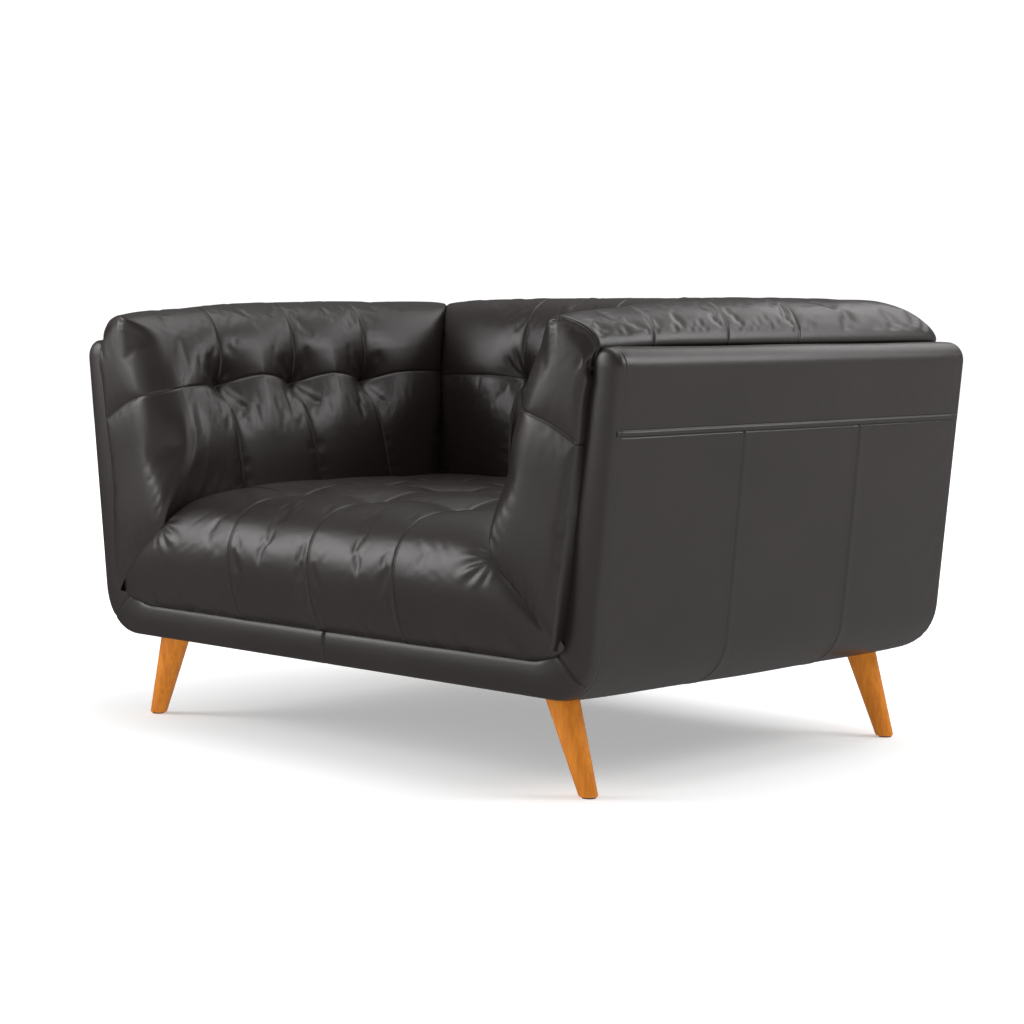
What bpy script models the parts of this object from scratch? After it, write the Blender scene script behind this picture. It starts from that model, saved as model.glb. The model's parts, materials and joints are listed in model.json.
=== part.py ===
"""A tufted leather armchair with a U-shaped outer shell, on four splayed wooden legs.

Frame: the origin is on the floor below the middle of the chair, +X runs to the sitter's left
(the right of the chair seen from the front), -Y is the front and +Z is up. Metres throughout.
"""

import math

import bmesh
import bpy
from mathutils import Vector

# Overall sizes
SHELL_FRONT_Y = -0.394
SHELL_BACK_Y = 0.429
SEAT_FRONT_Y = -0.429
CREST_HEIGHT = 0.7275
SHELL_BOTTOM_Z = 0.1465
GAP = 0.0003

# Outer shell, as a section across the chair: a top roll, a leaning side and a round corner
SHELL_LEAN = math.radians(6.14)
TOP_ROLL_CENTRE = (0.6055, 0.626)
TOP_ROLL_RADIUS = 0.029
ROLL_FOOT_Z = 0.625
ROLL_STEPS = 12
CORNER_CENTRE = (0.5065, 0.2315)
CORNER_RADIUS = 0.085
CORNER_STEPS = 10
UNDERSIDE_END_X = 0.440
DUST_COVER_THICKNESS = 0.001
SKIN = 0.0025
PADDING = 0.008
BOARD = 0.015

# Border that frames the cushions at the front and at the back
BORDER_DEPTH = 0.012
BORDER_INNER_TOP = (0.5767, 0.629)
BORDER_CORNER_CENTRE = (0.4555, 0.272)
BORDER_CORNER_RADIUS = 0.068
BORDER_LEAN = math.radians(8.2)
BORDER_BASE_TOP_Z = 0.2045
MITRE_INNER = (0.509, 0.227)
MITRE_OUTER = (0.5713, 0.1765)
OUTER_BACK_TOP_Z = 0.652
OUTER_BACK_TOP_INSET = 0.002

# Timber frame
TIMBER = 0.025
RAIL_BOTTOM_Z = SHELL_BOTTOM_Z + SKIN + GAP
RAIL_TOP_Z = 0.2045
SIDE_RAIL_INNER_X = 0.475
SIDE_RAIL_SHOULDER_X = 0.5345
SIDE_RAIL_TOP_Z = 0.2455
POST_TOP_Z = 0.6245
TOP_RAIL_HEIGHT = 0.045
POST_INNER_OFFSET = 0.056
BACK_FRAME_Y = 0.374
STRETCHER_HEIGHT = 0.040
STILE_WIDTH = 0.045
BACK_BOARD = 0.004
CORNER_BLOCK = (0.044, 0.060, 0.050)

# Springs and pads under the seat
SPRING_COUNT = 4
SPRING_SPACING = 0.190
SPRING_WIRE_RADIUS = 0.0018
SPRING_HALF_WIDTH = 0.021
SPRING_BENDS = 22
SPRING_STRAIGHT = 0.3
SPRING_CROWN = 0.010
PAD_BOTTOM_Z = 0.2205
PAD_THICKNESS = 0.006
PAD_BACK_Y = 0.2235
PAD_SIDE_CLEARANCE = 0.010

# Cushions
COVER = 0.003
OPEN_SIDE = 0.006
FRAME_CLEAR_Y = 0.3735
FRAME_CLEAR_Z = 0.6275
ROLL_BACK_Y = 0.4245
ARM_BACK_MITRE = 0.160
BACK_HALF_WIDTH = 0.5745
SEAT_FOAM_BOTTOM_Z = 0.227
ARM_TOP_VIEW_X = (0.330, 0.650)
BACK_TOP_VIEW_Y = (0.150, 0.450)
WIDE = 0.7
WIDER = 0.9

# Legs
LEG_FOOT_X = 0.521
LEG_TOP_X = 0.465
LEG_FRONT_Y = -0.3345
LEG_BACK_Y = 0.3815
LEG_FOOT_RADIUS = 0.014
LEG_TOP_RADIUS = 0.025
FOOT_ROUNDING = 0.0012
FOOT_ROUNDING_HEIGHT = 0.0015
LEG_SIDES = 20
GLIDE_THICKNESS = 0.002
GLIDE_RADIUS = 0.0105
BOLT_RADIUS = 0.004
BOLT_CLEARANCE = 0.0006
BOLT_BOTTOM_Z = 0.112
BOLT_TOP_Z = 0.193
BOLT_SIDES = 12
CUTTER_OVERSHOOT = 0.020

CORNERS = {
    "front_left": (-1, LEG_FRONT_Y),
    "front_right": (1, LEG_FRONT_Y),
    "back_left": (-1, LEG_BACK_Y),
    "back_right": (1, LEG_BACK_Y),
}
SIDES = {"left": -1, "right": 1}


def clear_scene():
    for scene_object in list(bpy.data.objects):
        bpy.data.objects.remove(scene_object, do_unlink=True)


def make_material(name, colour, roughness, metallic=0.0):
    material = bpy.data.materials.new(name)
    material.use_nodes = True
    shader = material.node_tree.nodes["Principled BSDF"]
    shader.inputs["Base Color"].default_value = (*colour, 1.0)
    shader.inputs["Roughness"].default_value = roughness
    shader.inputs["Metallic"].default_value = metallic
    return material


def add_object(name, mesh, material):
    piece = bpy.data.objects.new(name, mesh)
    mesh.materials.append(material)
    bpy.context.scene.collection.objects.link(piece)
    return piece


def mesh_from_bmesh(name, shape):
    bmesh.ops.recalc_face_normals(shape, faces=shape.faces)
    mesh = bpy.data.meshes.new(name)
    shape.to_mesh(mesh)
    shape.free()
    return mesh


def prism_mesh(name, outline, axis, low, high):
    """The outline, a list of (across, up) pairs, extruded from low to high along X, Y or Z."""
    place = {
        "X": lambda across, up, along: (along, across, up),
        "Y": lambda across, up, along: (across, along, up),
        "Z": lambda across, up, along: (across, up, along),
    }[axis]
    shape = bmesh.new()
    start = [shape.verts.new(place(across, up, low)) for across, up in outline]
    end = [shape.verts.new(place(across, up, high)) for across, up in outline]
    shape.faces.new(start)
    shape.faces.new(end[::-1])
    for index in range(len(outline)):
        following = (index + 1) % len(outline)
        shape.faces.new((start[index], end[index], end[following], start[following]))
    return mesh_from_bmesh(name, shape)


def prism(name, outline, axis, low, high, material):
    return add_object(name, prism_mesh(name, outline, axis, low, high), material)


def box(name, low, high, material):
    outline = [(low[0], low[1]), (high[0], low[1]), (high[0], high[1]), (low[0], high[1])]
    return prism(name, outline, "Z", low[2], high[2], material)


def rings_mesh(name, rings):
    """A closed solid through rings of equally many points, with a flat cap at each end."""
    shape = bmesh.new()
    rows = [[shape.verts.new(point) for point in ring] for ring in rings]
    shape.faces.new(rows[0])
    shape.faces.new(rows[-1][::-1])
    for lower, upper in zip(rows, rows[1:]):
        for index in range(len(lower)):
            following = (index + 1) % len(lower)
            shape.faces.new((lower[index], upper[index], upper[following], lower[following]))
    return mesh_from_bmesh(name, shape)


def mirrored(outline, side):
    return [(side * x, z) for x, z in outline]


def signed_area(outline):
    pairs = zip(outline, outline[1:] + outline[:1])
    return 0.5 * sum(x0 * y1 - x1 * y0 for (x0, y0), (x1, y1) in pairs)


def offset_outline(outline, distances):
    """Each corner of a closed outline moved outwards by its own distance, or inwards if negative."""
    turn = 1.0 if signed_area(outline) > 0 else -1.0
    moved = []
    for index, (point, distance) in enumerate(zip(outline, distances)):
        here = Vector(point)
        incoming = (here - Vector(outline[index - 1])).normalized()
        outgoing = (Vector(outline[(index + 1) % len(outline)]) - here).normalized()
        first = Vector((incoming.y, -incoming.x)) * turn
        second = Vector((outgoing.y, -outgoing.x)) * turn
        middle = (first + second).normalized()
        reach = distance / max(middle.dot(first), 0.5)
        moved.append(tuple(here + middle * reach))
    return moved


def arc(centre, radius, start, end, steps):
    points = []
    for step in range(steps + 1):
        angle = start + (end - start) * step / steps
        points.append((centre[0] + radius * math.cos(angle), centre[1] + radius * math.sin(angle)))
    return points


def smooth(points, steps):
    """A Catmull-Rom curve through the points, with this many steps between neighbours."""
    padded = [points[0], *points, points[-1]]
    curve = []
    for before, start, end, after in zip(padded, padded[1:], padded[2:], padded[3:]):
        for step in range(steps):
            t = step / steps
            curve.append(
                tuple(
                    0.5 * (2 * b + (c - a) * t + (2 * a - 5 * b + 4 * c - d) * t * t
                           + (3 * b - a - 3 * c + d) * t ** 3)
                    for a, b, c, d in zip(before, start, end, after)
                )
            )
    curve.append(points[-1])
    return curve


def boolean(piece, cutter, operation):
    """Adds an exact Boolean to the piece and hides the cutter from the build."""
    modifier = piece.modifiers.new(cutter.name, "BOOLEAN")
    modifier.operation = operation
    modifier.solver = "EXACT"
    modifier.object = cutter
    cutter.hide_render = True
    cutter.display_type = "WIRE"


# ---------------------------------------------------------------- shell outlines


def shell_curve(offset, with_roll=True):
    """The shell's outer surface, moved inwards by offset: top roll, side, corner, underside."""
    if with_roll:
        radius = TOP_ROLL_RADIUS - offset
        points = arc(TOP_ROLL_CENTRE, radius, math.pi - SHELL_LEAN, -SHELL_LEAN, ROLL_STEPS)
    else:
        points = [side_point(offset, ROLL_FOOT_Z)]
    radius = CORNER_RADIUS - offset
    return points + arc(CORNER_CENTRE, radius, -SHELL_LEAN, -math.pi / 2, CORNER_STEPS)


def side_point(offset, height):
    """The point of the leaning side at this height, moved inwards by offset."""
    reach = CORNER_RADIUS - offset
    foot_x = CORNER_CENTRE[0] + reach * math.cos(SHELL_LEAN)
    foot_z = CORNER_CENTRE[1] - reach * math.sin(SHELL_LEAN)
    return (foot_x + (height - foot_z) * math.tan(SHELL_LEAN), height)


def border_inner_curve():
    """The border's inner edge on one side, from the top of the shell to the middle of the base."""
    corner = arc(BORDER_CORNER_CENTRE, BORDER_CORNER_RADIUS, -BORDER_LEAN, -math.pi / 2, 8)
    return [BORDER_INNER_TOP] + corner[:-1] + [(BORDER_CORNER_CENTRE[0], BORDER_BASE_TOP_Z)]


def split_at(points, corner):
    """The points before and after the one nearest to corner, which ends both runs."""
    distances = [math.dist(point, corner) for point in points]
    nearest = distances.index(min(distances))
    return points[:nearest] + [corner], [corner] + points[nearest + 1:]


# ---------------------------------------------------------------- pieces


def make_shell_covers(leather, lining, foam, plywood):
    front = SHELL_FRONT_Y + BORDER_DEPTH + GAP
    back = SHELL_BACK_Y - BORDER_DEPTH - GAP
    for side_name, side in SIDES.items():
        outside = shell_curve(0) + [(UNDERSIDE_END_X, SHELL_BOTTOM_Z)]
        inside = shell_curve(SKIN) + [(UNDERSIDE_END_X, SHELL_BOTTOM_Z + SKIN)]
        outline = mirrored(outside + inside[::-1], side)
        cover = prism(f"side_cover_{side_name}", outline, "Y", front, back, leather)
        for corner_name, (corner_side, y) in CORNERS.items():
            if corner_side == side:
                boolean(cover, stud_cutter(f"cover_hole_{corner_name}", side, y), "DIFFERENCE")

        inner = SKIN + GAP
        outside = shell_curve(inner)
        inside = shell_curve(inner + PADDING, with_roll=False)
        roll_foot = (TOP_ROLL_CENTRE[0] - (TOP_ROLL_RADIUS - inner), ROLL_FOOT_Z)
        outline = mirrored(outside + inside[::-1] + [roll_foot], side)
        prism(f"side_padding_{side_name}", outline, "Y", front, back, foam)

        outer = SKIN + PADDING + 2 * GAP
        low, high = SIDE_RAIL_TOP_Z + GAP, POST_TOP_Z
        outline = [
            side_point(outer, low),
            side_point(outer, high),
            side_point(outer + BOARD, high),
            side_point(outer + BOARD, low),
        ]
        prism(f"side_board_{side_name}", mirrored(outline, side), "Y", front, back, plywood)
    half = UNDERSIDE_END_X - GAP
    box("dust_cover", (-half, front, SHELL_BOTTOM_Z),
        (half, back, SHELL_BOTTOM_Z + DUST_COVER_THICKNESS), lining)


def make_borders(leather):
    """A front ring of four leather borders and a back ring of three, sewn at mitred corners."""
    outer_arm, outer_base = split_at(shell_curve(0), MITRE_OUTER)
    inner_arm, inner_base = split_at(border_inner_curve(), MITRE_INNER)
    half_gap = 0.5 * GAP
    front = (SHELL_FRONT_Y, SHELL_FRONT_Y + BORDER_DEPTH)
    back = (SHELL_BACK_Y - BORDER_DEPTH, SHELL_BACK_Y)
    arm = outer_arm + inner_arm[::-1]
    base = outer_base + [(half_gap, SHELL_BOTTOM_Z), (half_gap, BORDER_BASE_TOP_Z)]
    base += inner_base[::-1]
    arm = offset_outline(arm, [-half_gap] * len(arm))
    base = offset_outline(base, [-half_gap] * len(base))
    for side_name, side in SIDES.items():
        prism(f"front_border_arm_{side_name}", mirrored(arm, side), "Y", *front, leather)
        prism(f"front_border_base_{side_name}", mirrored(base, side), "Y", *front, leather)
        prism(f"back_border_arm_{side_name}", mirrored(arm, side), "Y", *back, leather)
    whole = outer_base + mirrored(outer_base[::-1], -1) + mirrored(inner_base, -1)
    whole += inner_base[::-1]
    whole = offset_outline(whole, [-half_gap] * len(whole))
    prism("back_border_base", whole, "Y", *back, leather)


def make_frame(timber, plywood):
    front_y = SHELL_FRONT_Y + BORDER_DEPTH + 2 * GAP
    front_inner_y = front_y + TIMBER
    back_inner_y = BACK_FRAME_Y
    back_y = SHELL_BACK_Y - BORDER_DEPTH - 2 * GAP
    half = SIDE_RAIL_INNER_X - GAP
    box("front_rail", (-half, front_y, RAIL_BOTTOM_Z), (half, front_inner_y, RAIL_TOP_Z), timber)
    back_rail = box("back_rail", (-half, back_inner_y, RAIL_BOTTOM_Z),
                    (half, back_inner_y + TIMBER, RAIL_TOP_Z), timber)
    for side_name, side in SIDES.items():
        hole = stud_cutter(f"rail_hole_{side_name}", side, LEG_BACK_Y)
        boolean(back_rail, hole, "DIFFERENCE")
    box("seat_stretcher", (-TIMBER / 2, front_inner_y + GAP, RAIL_BOTTOM_Z),
        (TIMBER / 2, back_inner_y - GAP, RAIL_BOTTOM_Z + STRETCHER_HEIGHT), timber)

    offset = SKIN + PADDING + 2 * GAP
    rail_curve = arc(CORNER_CENTRE, CORNER_RADIUS - offset, -SHELL_LEAN, -math.pi / 2, 8)
    for side_name, side in SIDES.items():
        outline = [side_point(offset, SIDE_RAIL_TOP_Z)] + rail_curve + [
            (CORNER_CENTRE[0], RAIL_BOTTOM_Z),
            (SIDE_RAIL_INNER_X, RAIL_BOTTOM_Z),
            (SIDE_RAIL_INNER_X, RAIL_TOP_Z),
            (SIDE_RAIL_SHOULDER_X, RAIL_TOP_Z),
            (SIDE_RAIL_SHOULDER_X, SIDE_RAIL_TOP_Z),
        ]
        prism(f"side_rail_{side_name}", mirrored(outline, side), "Y", front_y, back_y, timber)

        outer = offset + BOARD + GAP
        post = post_outline(outer, SIDE_RAIL_TOP_Z + GAP, POST_TOP_Z)
        prism(f"arm_front_post_{side_name}", mirrored(post, side), "Y",
              front_y, front_inner_y, timber)
        prism(f"arm_back_post_{side_name}", mirrored(post, side), "Y",
              back_y - TIMBER, back_y, timber)
        rail = post_outline(outer, POST_TOP_Z - TOP_RAIL_HEIGHT, POST_TOP_Z)
        prism(f"arm_top_rail_{side_name}", mirrored(rail, side), "Y",
              front_inner_y + GAP, back_y - TIMBER - GAP, timber)

    low, high = POST_TOP_Z - TOP_RAIL_HEIGHT, POST_TOP_Z
    narrow = side_point(POST_INNER_OFFSET, low)[0] - GAP
    wide = side_point(POST_INNER_OFFSET, high)[0] - GAP
    outline = [(-narrow, low), (narrow, low), (wide, high), (-wide, high)]
    prism("back_top_rail", outline, "Y", back_inner_y, back_inner_y + TIMBER, timber)
    box("back_stile", (-STILE_WIDTH / 2, back_inner_y, RAIL_TOP_Z + GAP),
        (STILE_WIDTH / 2, back_inner_y + TIMBER, low - GAP), timber)
    board_y = back_inner_y + TIMBER + GAP
    width = side_point(POST_INNER_OFFSET, SIDE_RAIL_TOP_Z)[0] - GAP
    outline = [(-width, SIDE_RAIL_TOP_Z + GAP), (width, SIDE_RAIL_TOP_Z + GAP),
               (wide, high), (-wide, high)]
    prism("back_board", outline, "Y", board_y, board_y + BACK_BOARD, plywood)


def post_outline(outer, low, high):
    return [
        side_point(outer, low),
        side_point(outer, high),
        side_point(POST_INNER_OFFSET, high),
        side_point(POST_INNER_OFFSET, low),
    ]


def circle(x, y, z, radius_x, radius_y, sides):
    points = []
    for step in range(sides):
        angle = 2 * math.pi * step / sides
        points.append((x + radius_x * math.cos(angle), y + radius_y * math.sin(angle), z))
    return points


def stud_cutter(name, side, y):
    """A round cutter on a leg's stud, wider than the stud by the clearance."""
    radius = BOLT_RADIUS + BOLT_CLEARANCE
    x = side * LEG_TOP_X
    rings = [
        circle(x, y, BOLT_BOTTOM_Z - 2 * GAP, radius, radius, BOLT_SIDES),
        circle(x, y, BOLT_TOP_Z + CUTTER_OVERSHOOT, radius, radius, BOLT_SIDES),
    ]
    return add_object(name, rings_mesh(name, rings), cutter_material())


def cutter_material():
    return bpy.data.materials.get("cutter") or make_material("cutter", (0.8, 0.2, 0.2), 0.5)


def make_legs(oak, nylon, steel, timber):
    """Round legs that taper and lean outwards, each on a glide and held by a threaded stud."""
    lean = math.atan2(LEG_FOOT_X - LEG_TOP_X, SHELL_BOTTOM_Z)
    leg_bottom = GLIDE_THICKNESS + GAP
    leg_top = SHELL_BOTTOM_Z - GAP
    for corner_name, (side, y) in CORNERS.items():
        rings = []
        for height, rounding in ((leg_bottom, FOOT_ROUNDING),
                                 (leg_bottom + FOOT_ROUNDING_HEIGHT, 0.0),
                                 (0.5 * leg_top, 0.0), (leg_top, 0.0)):
            share = height / leg_top
            radius = LEG_FOOT_RADIUS + (LEG_TOP_RADIUS - LEG_FOOT_RADIUS) * share - rounding
            x = side * (LEG_FOOT_X + (LEG_TOP_X - LEG_FOOT_X) * share)
            rings.append(circle(x, y, height, radius / math.cos(lean), radius, LEG_SIDES))
        leg = add_object(f"leg_{corner_name}", rings_mesh(f"leg_{corner_name}", rings), oak)
        leg.data.shade_smooth()
        leg.data.set_sharp_from_angle(angle=math.radians(40))
        boolean(leg, stud_cutter(f"leg_hole_{corner_name}", side, y), "DIFFERENCE")

        foot_x = side * LEG_FOOT_X
        rings = [circle(foot_x, y, height, GLIDE_RADIUS, GLIDE_RADIUS, LEG_SIDES)
                 for height in (0.0, GLIDE_THICKNESS)]
        add_object(f"glide_{corner_name}", rings_mesh(f"glide_{corner_name}", rings), nylon)

        rings = [circle(side * LEG_TOP_X, y, height, BOLT_RADIUS, BOLT_RADIUS, BOLT_SIDES)
                 for height in (BOLT_BOTTOM_Z, BOLT_TOP_Z)]
        add_object(f"leg_stud_{corner_name}", rings_mesh(f"leg_stud_{corner_name}", rings), steel)

        make_corner_block(corner_name, side, y, timber)


def make_corner_block(corner_name, side, leg_y, timber):
    width, depth, height = CORNER_BLOCK
    outer_x = SIDE_RAIL_INNER_X - GAP
    if leg_y < 0:
        near_y = SHELL_FRONT_Y + BORDER_DEPTH + 2 * GAP + TIMBER + GAP
        low_y, high_y = near_y, near_y + depth
    else:
        high_y = BACK_FRAME_Y - GAP
        low_y = high_y - depth
    low_x, high_x = sorted((side * outer_x, side * (outer_x - width)))
    block = box(f"corner_block_{corner_name}", (low_x, low_y, RAIL_BOTTOM_Z),
                (high_x, high_y, RAIL_BOTTOM_Z + height), timber)
    if low_y < leg_y < high_y:
        boolean(block, stud_cutter(f"block_hole_{corner_name}", side, leg_y), "DIFFERENCE")


def make_springs(steel, felt):
    """Sinuous steel springs from the front rail to the back rail, with a felt pad over them."""
    start_y = SHELL_FRONT_Y + BORDER_DEPTH + TIMBER / 2
    end_y = BACK_FRAME_Y + TIMBER / 2
    rest_z = RAIL_TOP_Z + SPRING_WIRE_RADIUS + GAP
    for number in range(SPRING_COUNT):
        middle_x = (number - (SPRING_COUNT - 1) / 2) * SPRING_SPACING
        points = []
        for bend in range(SPRING_BENDS + 1):
            for part in (-SPRING_STRAIGHT, SPRING_STRAIGHT):
                place = min(max((bend + part) / SPRING_BENDS, 0.0), 1.0)
                if points and place == points[-1][3]:
                    continue
                swing = SPRING_HALF_WIDTH if bend % 2 else -SPRING_HALF_WIDTH
                y = start_y + (end_y - start_y) * place
                z = rest_z + SPRING_CROWN * math.sin(math.pi * place)
                points.append((middle_x + swing, y, z, place))
        curve = bpy.data.curves.new(f"seat_spring_{number + 1}", "CURVE")
        curve.dimensions = "3D"
        curve.bevel_depth = SPRING_WIRE_RADIUS
        curve.bevel_resolution = 0
        curve.use_fill_caps = True
        line = curve.splines.new("POLY")
        line.points.add(len(points) - 1)
        for spline_point, (x, y, z, _place) in zip(line.points, points):
            spline_point.co = (x, y, z, 1.0)
        add_object(curve.name, curve, steel)
    half = SIDE_RAIL_INNER_X - PAD_SIDE_CLEARANCE
    box("spring_pad", (-half, start_y, PAD_BOTTOM_Z),
        (half, PAD_BACK_Y, PAD_BOTTOM_Z + PAD_THICKNESS), felt)


# ---------------------------------------------------------------- cushions

# Each view is (covered points, open points). Leather covers the first run; the second run lies
# against the frame or another cushion, where the cover is open. X is to one side of the chair.
ARM_FRONT_VIEW = (
    smooth([(0.592, 0.6575), (0.580, 0.677), (0.556, 0.699), (0.520, 0.7225), (0.490, 0.711),
            (0.468, 0.680), (0.452, 0.640), (0.424, 0.540), (0.408, 0.470), (0.398, 0.400),
            (0.392, 0.3465)], 2),
    [(0.5125, 0.2440), (0.5215, 0.262), (0.5745, 0.6275), (0.5755, 0.6575)],
)
ARM_SIDE_VIEW = (
    smooth([(-0.398, 0.230), (-0.4055, 0.350), (-0.4080, 0.500), (-0.4055, 0.620),
            (-0.396, 0.676), (-0.372, 0.702), (-0.2825, 0.710), (-0.1175, 0.7165),
            (0.100, 0.7225), (0.370, 0.7230)], 2),
    [(ROLL_BACK_Y, 0.724), (ROLL_BACK_Y, FRAME_CLEAR_Z), (FRAME_CLEAR_Y, FRAME_CLEAR_Z),
     (FRAME_CLEAR_Y, 0.230)],
)
BACK_SIDE_VIEW = (
    smooth([(ROLL_BACK_Y, 0.6555), (0.410, 0.688), (0.378, 0.715), (0.3325, CREST_HEIGHT),
            (0.293, 0.717), (0.268, 0.688), (0.251, 0.640), (0.238, 0.590), (0.227, 0.520),
            (0.2205, 0.440), (0.2175, 0.360), (0.2175, 0.300)], 2),
    [(0.230, 0.235), (FRAME_CLEAR_Y, 0.235), (FRAME_CLEAR_Y, FRAME_CLEAR_Z),
     (ROLL_BACK_Y, FRAME_CLEAR_Z)],
)
SEAT_FRONT_VIEW_HALF = [(0.000, 0.418), (0.200, 0.416), (0.310, 0.410), (0.362, 0.399),
                        (0.386, 0.380), (0.3905, 0.3445), (0.509, 0.2430)]
SEAT_SIDE_VIEW = (
    smooth([(-0.402, 0.2085), (-0.4185, 0.240), (-0.4275, 0.272), (SEAT_FRONT_Y, 0.303),
            (-0.423, 0.339), (-0.405, 0.367), (-0.375, 0.387), (-0.330, 0.400),
            (-0.220, 0.411), (-0.060, 0.418), (0.100, 0.415), (0.2165, 0.406)], 2),
    [(0.2165, 0.2085), (-0.396, 0.2085)],
)


def grown(view, covered, opened):
    """A view's closed outline, its covered and open runs moved outwards by these distances."""
    covered_points, open_points = view
    distances = [covered] * len(covered_points) + [opened] * len(open_points)
    return offset_outline(covered_points + open_points, distances)


def solid_from_views(name, front, side, top, material):
    """The shape common to three extruded outlines: seen from the front, the side and the top."""
    piece = prism(name, front, "Y", -WIDER, WIDER, material)
    for view_name, outline, axis in (("side", side, "X"), ("top", top, "Z")):
        cutter = prism(f"{name}_{view_name}_view", outline, axis, -WIDER, WIDER,
                       cutter_material())
        boolean(piece, cutter, "INTERSECT")
    return piece


def make_cushion(name, views, leather, foam):
    """An open leather cover and the foam inside it, from a function that grows the three views."""
    cover = solid_from_views(f"{name[0]}_cover{name[1]}", *views(0.0, 0.0), leather)
    hollow = solid_from_views(f"{name[0]}_hollow{name[1]}", *views(-COVER, OPEN_SIDE),
                              cutter_material())
    boolean(cover, hollow, "DIFFERENCE")
    inset = -COVER - GAP
    solid_from_views(f"{name[0]}_foam{name[1]}", *views(inset, -GAP), foam)


def arm_views(side):
    def views(covered, opened):
        front = mirrored(grown(ARM_FRONT_VIEW, covered, opened), side)
        top_y = ROLL_BACK_Y + opened
        mitre = ARM_BACK_MITRE + GAP - opened * math.sqrt(2)
        inner_x, outer_x = ARM_TOP_VIEW_X
        top = [(inner_x, -WIDE), (outer_x, -WIDE), (outer_x, top_y), (top_y + mitre, top_y),
               (inner_x, inner_x - mitre)]
        return front, grown(ARM_SIDE_VIEW, covered, opened), mirrored(top, side)
    return views


def back_views(covered, opened):
    mitre = ARM_BACK_MITRE - GAP + opened * math.sqrt(2)
    front_y, back_y = BACK_TOP_VIEW_Y
    half_front, half_back = front_y + mitre, back_y + mitre
    top = [(-half_front, front_y), (half_front, front_y), (half_back, back_y), (-half_back, back_y)]
    crest = smooth([(BACK_HALF_WIDTH, 0.6600), (0.556, 0.6990), (0.500, 0.7205),
                    (0.400, 0.7268), (0.200, CREST_HEIGHT)], 2)
    crest += mirrored(crest[::-1], -1)
    open_points = [(-BACK_HALF_WIDTH, 0.0), (BACK_HALF_WIDTH, 0.0)]
    front = grown((crest, open_points), covered, opened)
    return front, grown(BACK_SIDE_VIEW, covered, opened), top


def seat_views(covered, opened):
    right = smooth(SEAT_FRONT_VIEW_HALF[:-2], 2) + SEAT_FRONT_VIEW_HALF[-2:]
    left = [(-x, z) for x, z in right[:0:-1]]
    open_points = [(0.478, 0.2085), (-0.478, 0.2085)]
    front = grown((left + right, open_points), covered, opened)
    top = [(-WIDE, -WIDE), (WIDE, -WIDE), (WIDE, WIDE), (-WIDE, WIDE)]
    return front, grown(SEAT_SIDE_VIEW, covered, opened), top


def trim_seat_foam(material):
    """Cuts the seat foam level above the felt pad."""
    below = box("seat_foam_level", (-WIDE, -WIDE, 0.0), (WIDE, WIDE, SEAT_FOAM_BOTTOM_Z), material)
    boolean(bpy.data.objects["seat_foam"], below, "DIFFERENCE")


def make_outer_back(leather, foam):
    """The flat leather panel that closes the back between the borders, and its wadding."""
    inner = border_inner_curve()
    (foot_x, foot_z), (top_x, top_z) = inner[1], inner[0]
    wadding_top_z = FRAME_CLEAR_Z - 2 * GAP
    lean = (top_x - foot_x) / (top_z - foot_z)
    wadding_top = (foot_x + (wadding_top_z - foot_z) * lean, wadding_top_z)
    cover_top = (top_x - OUTER_BACK_TOP_INSET, OUTER_BACK_TOP_Z)
    outer_y = SHELL_BACK_Y - GAP
    face_y = outer_y - SKIN
    low_y = SHELL_BACK_Y - BORDER_DEPTH
    for name, tops, near_y, far_y, material in (
        ("outer_back_cover", [cover_top, (top_x, top_z)], face_y, outer_y, leather),
        ("outer_back_wadding", [wadding_top], low_y, face_y - GAP, foam),
    ):
        half = tops + inner[1:]
        whole = half + mirrored(half[::-1], -1)
        whole = offset_outline(whole, [-GAP] * len(whole))
        prism(name, whole, "Y", near_y, far_y, material)


def main():
    clear_scene()
    leather = make_material("dark_leather", (0.045, 0.040, 0.038), 0.42)
    oak = make_material("oak", (0.58, 0.23, 0.045), 0.40)
    timber = make_material("frame_timber", (0.62, 0.47, 0.29), 0.70)
    plywood = make_material("plywood", (0.66, 0.52, 0.34), 0.70)
    foam = make_material("foam", (0.85, 0.80, 0.62), 0.90)
    felt = make_material("felt", (0.30, 0.30, 0.31), 0.95)
    lining = make_material("black_lining", (0.02, 0.02, 0.02), 0.90)
    steel = make_material("steel", (0.60, 0.60, 0.62), 0.35, 1.0)
    nylon = make_material("nylon", (0.03, 0.03, 0.03), 0.50)

    make_legs(oak, nylon, steel, timber)
    make_frame(timber, plywood)
    make_springs(steel, felt)
    make_shell_covers(leather, lining, foam, plywood)
    make_borders(leather)
    make_outer_back(leather, foam)
    make_cushion(("seat", ""), seat_views, leather, foam)
    trim_seat_foam(cutter_material())
    make_cushion(("back", ""), back_views, leather, foam)
    for side_name, side in SIDES.items():
        make_cushion(("arm", f"_{side_name}"), arm_views(side), leather, foam)


main()
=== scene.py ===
"""The looks of the tufted leather armchair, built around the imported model."""

import json
import math

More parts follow.
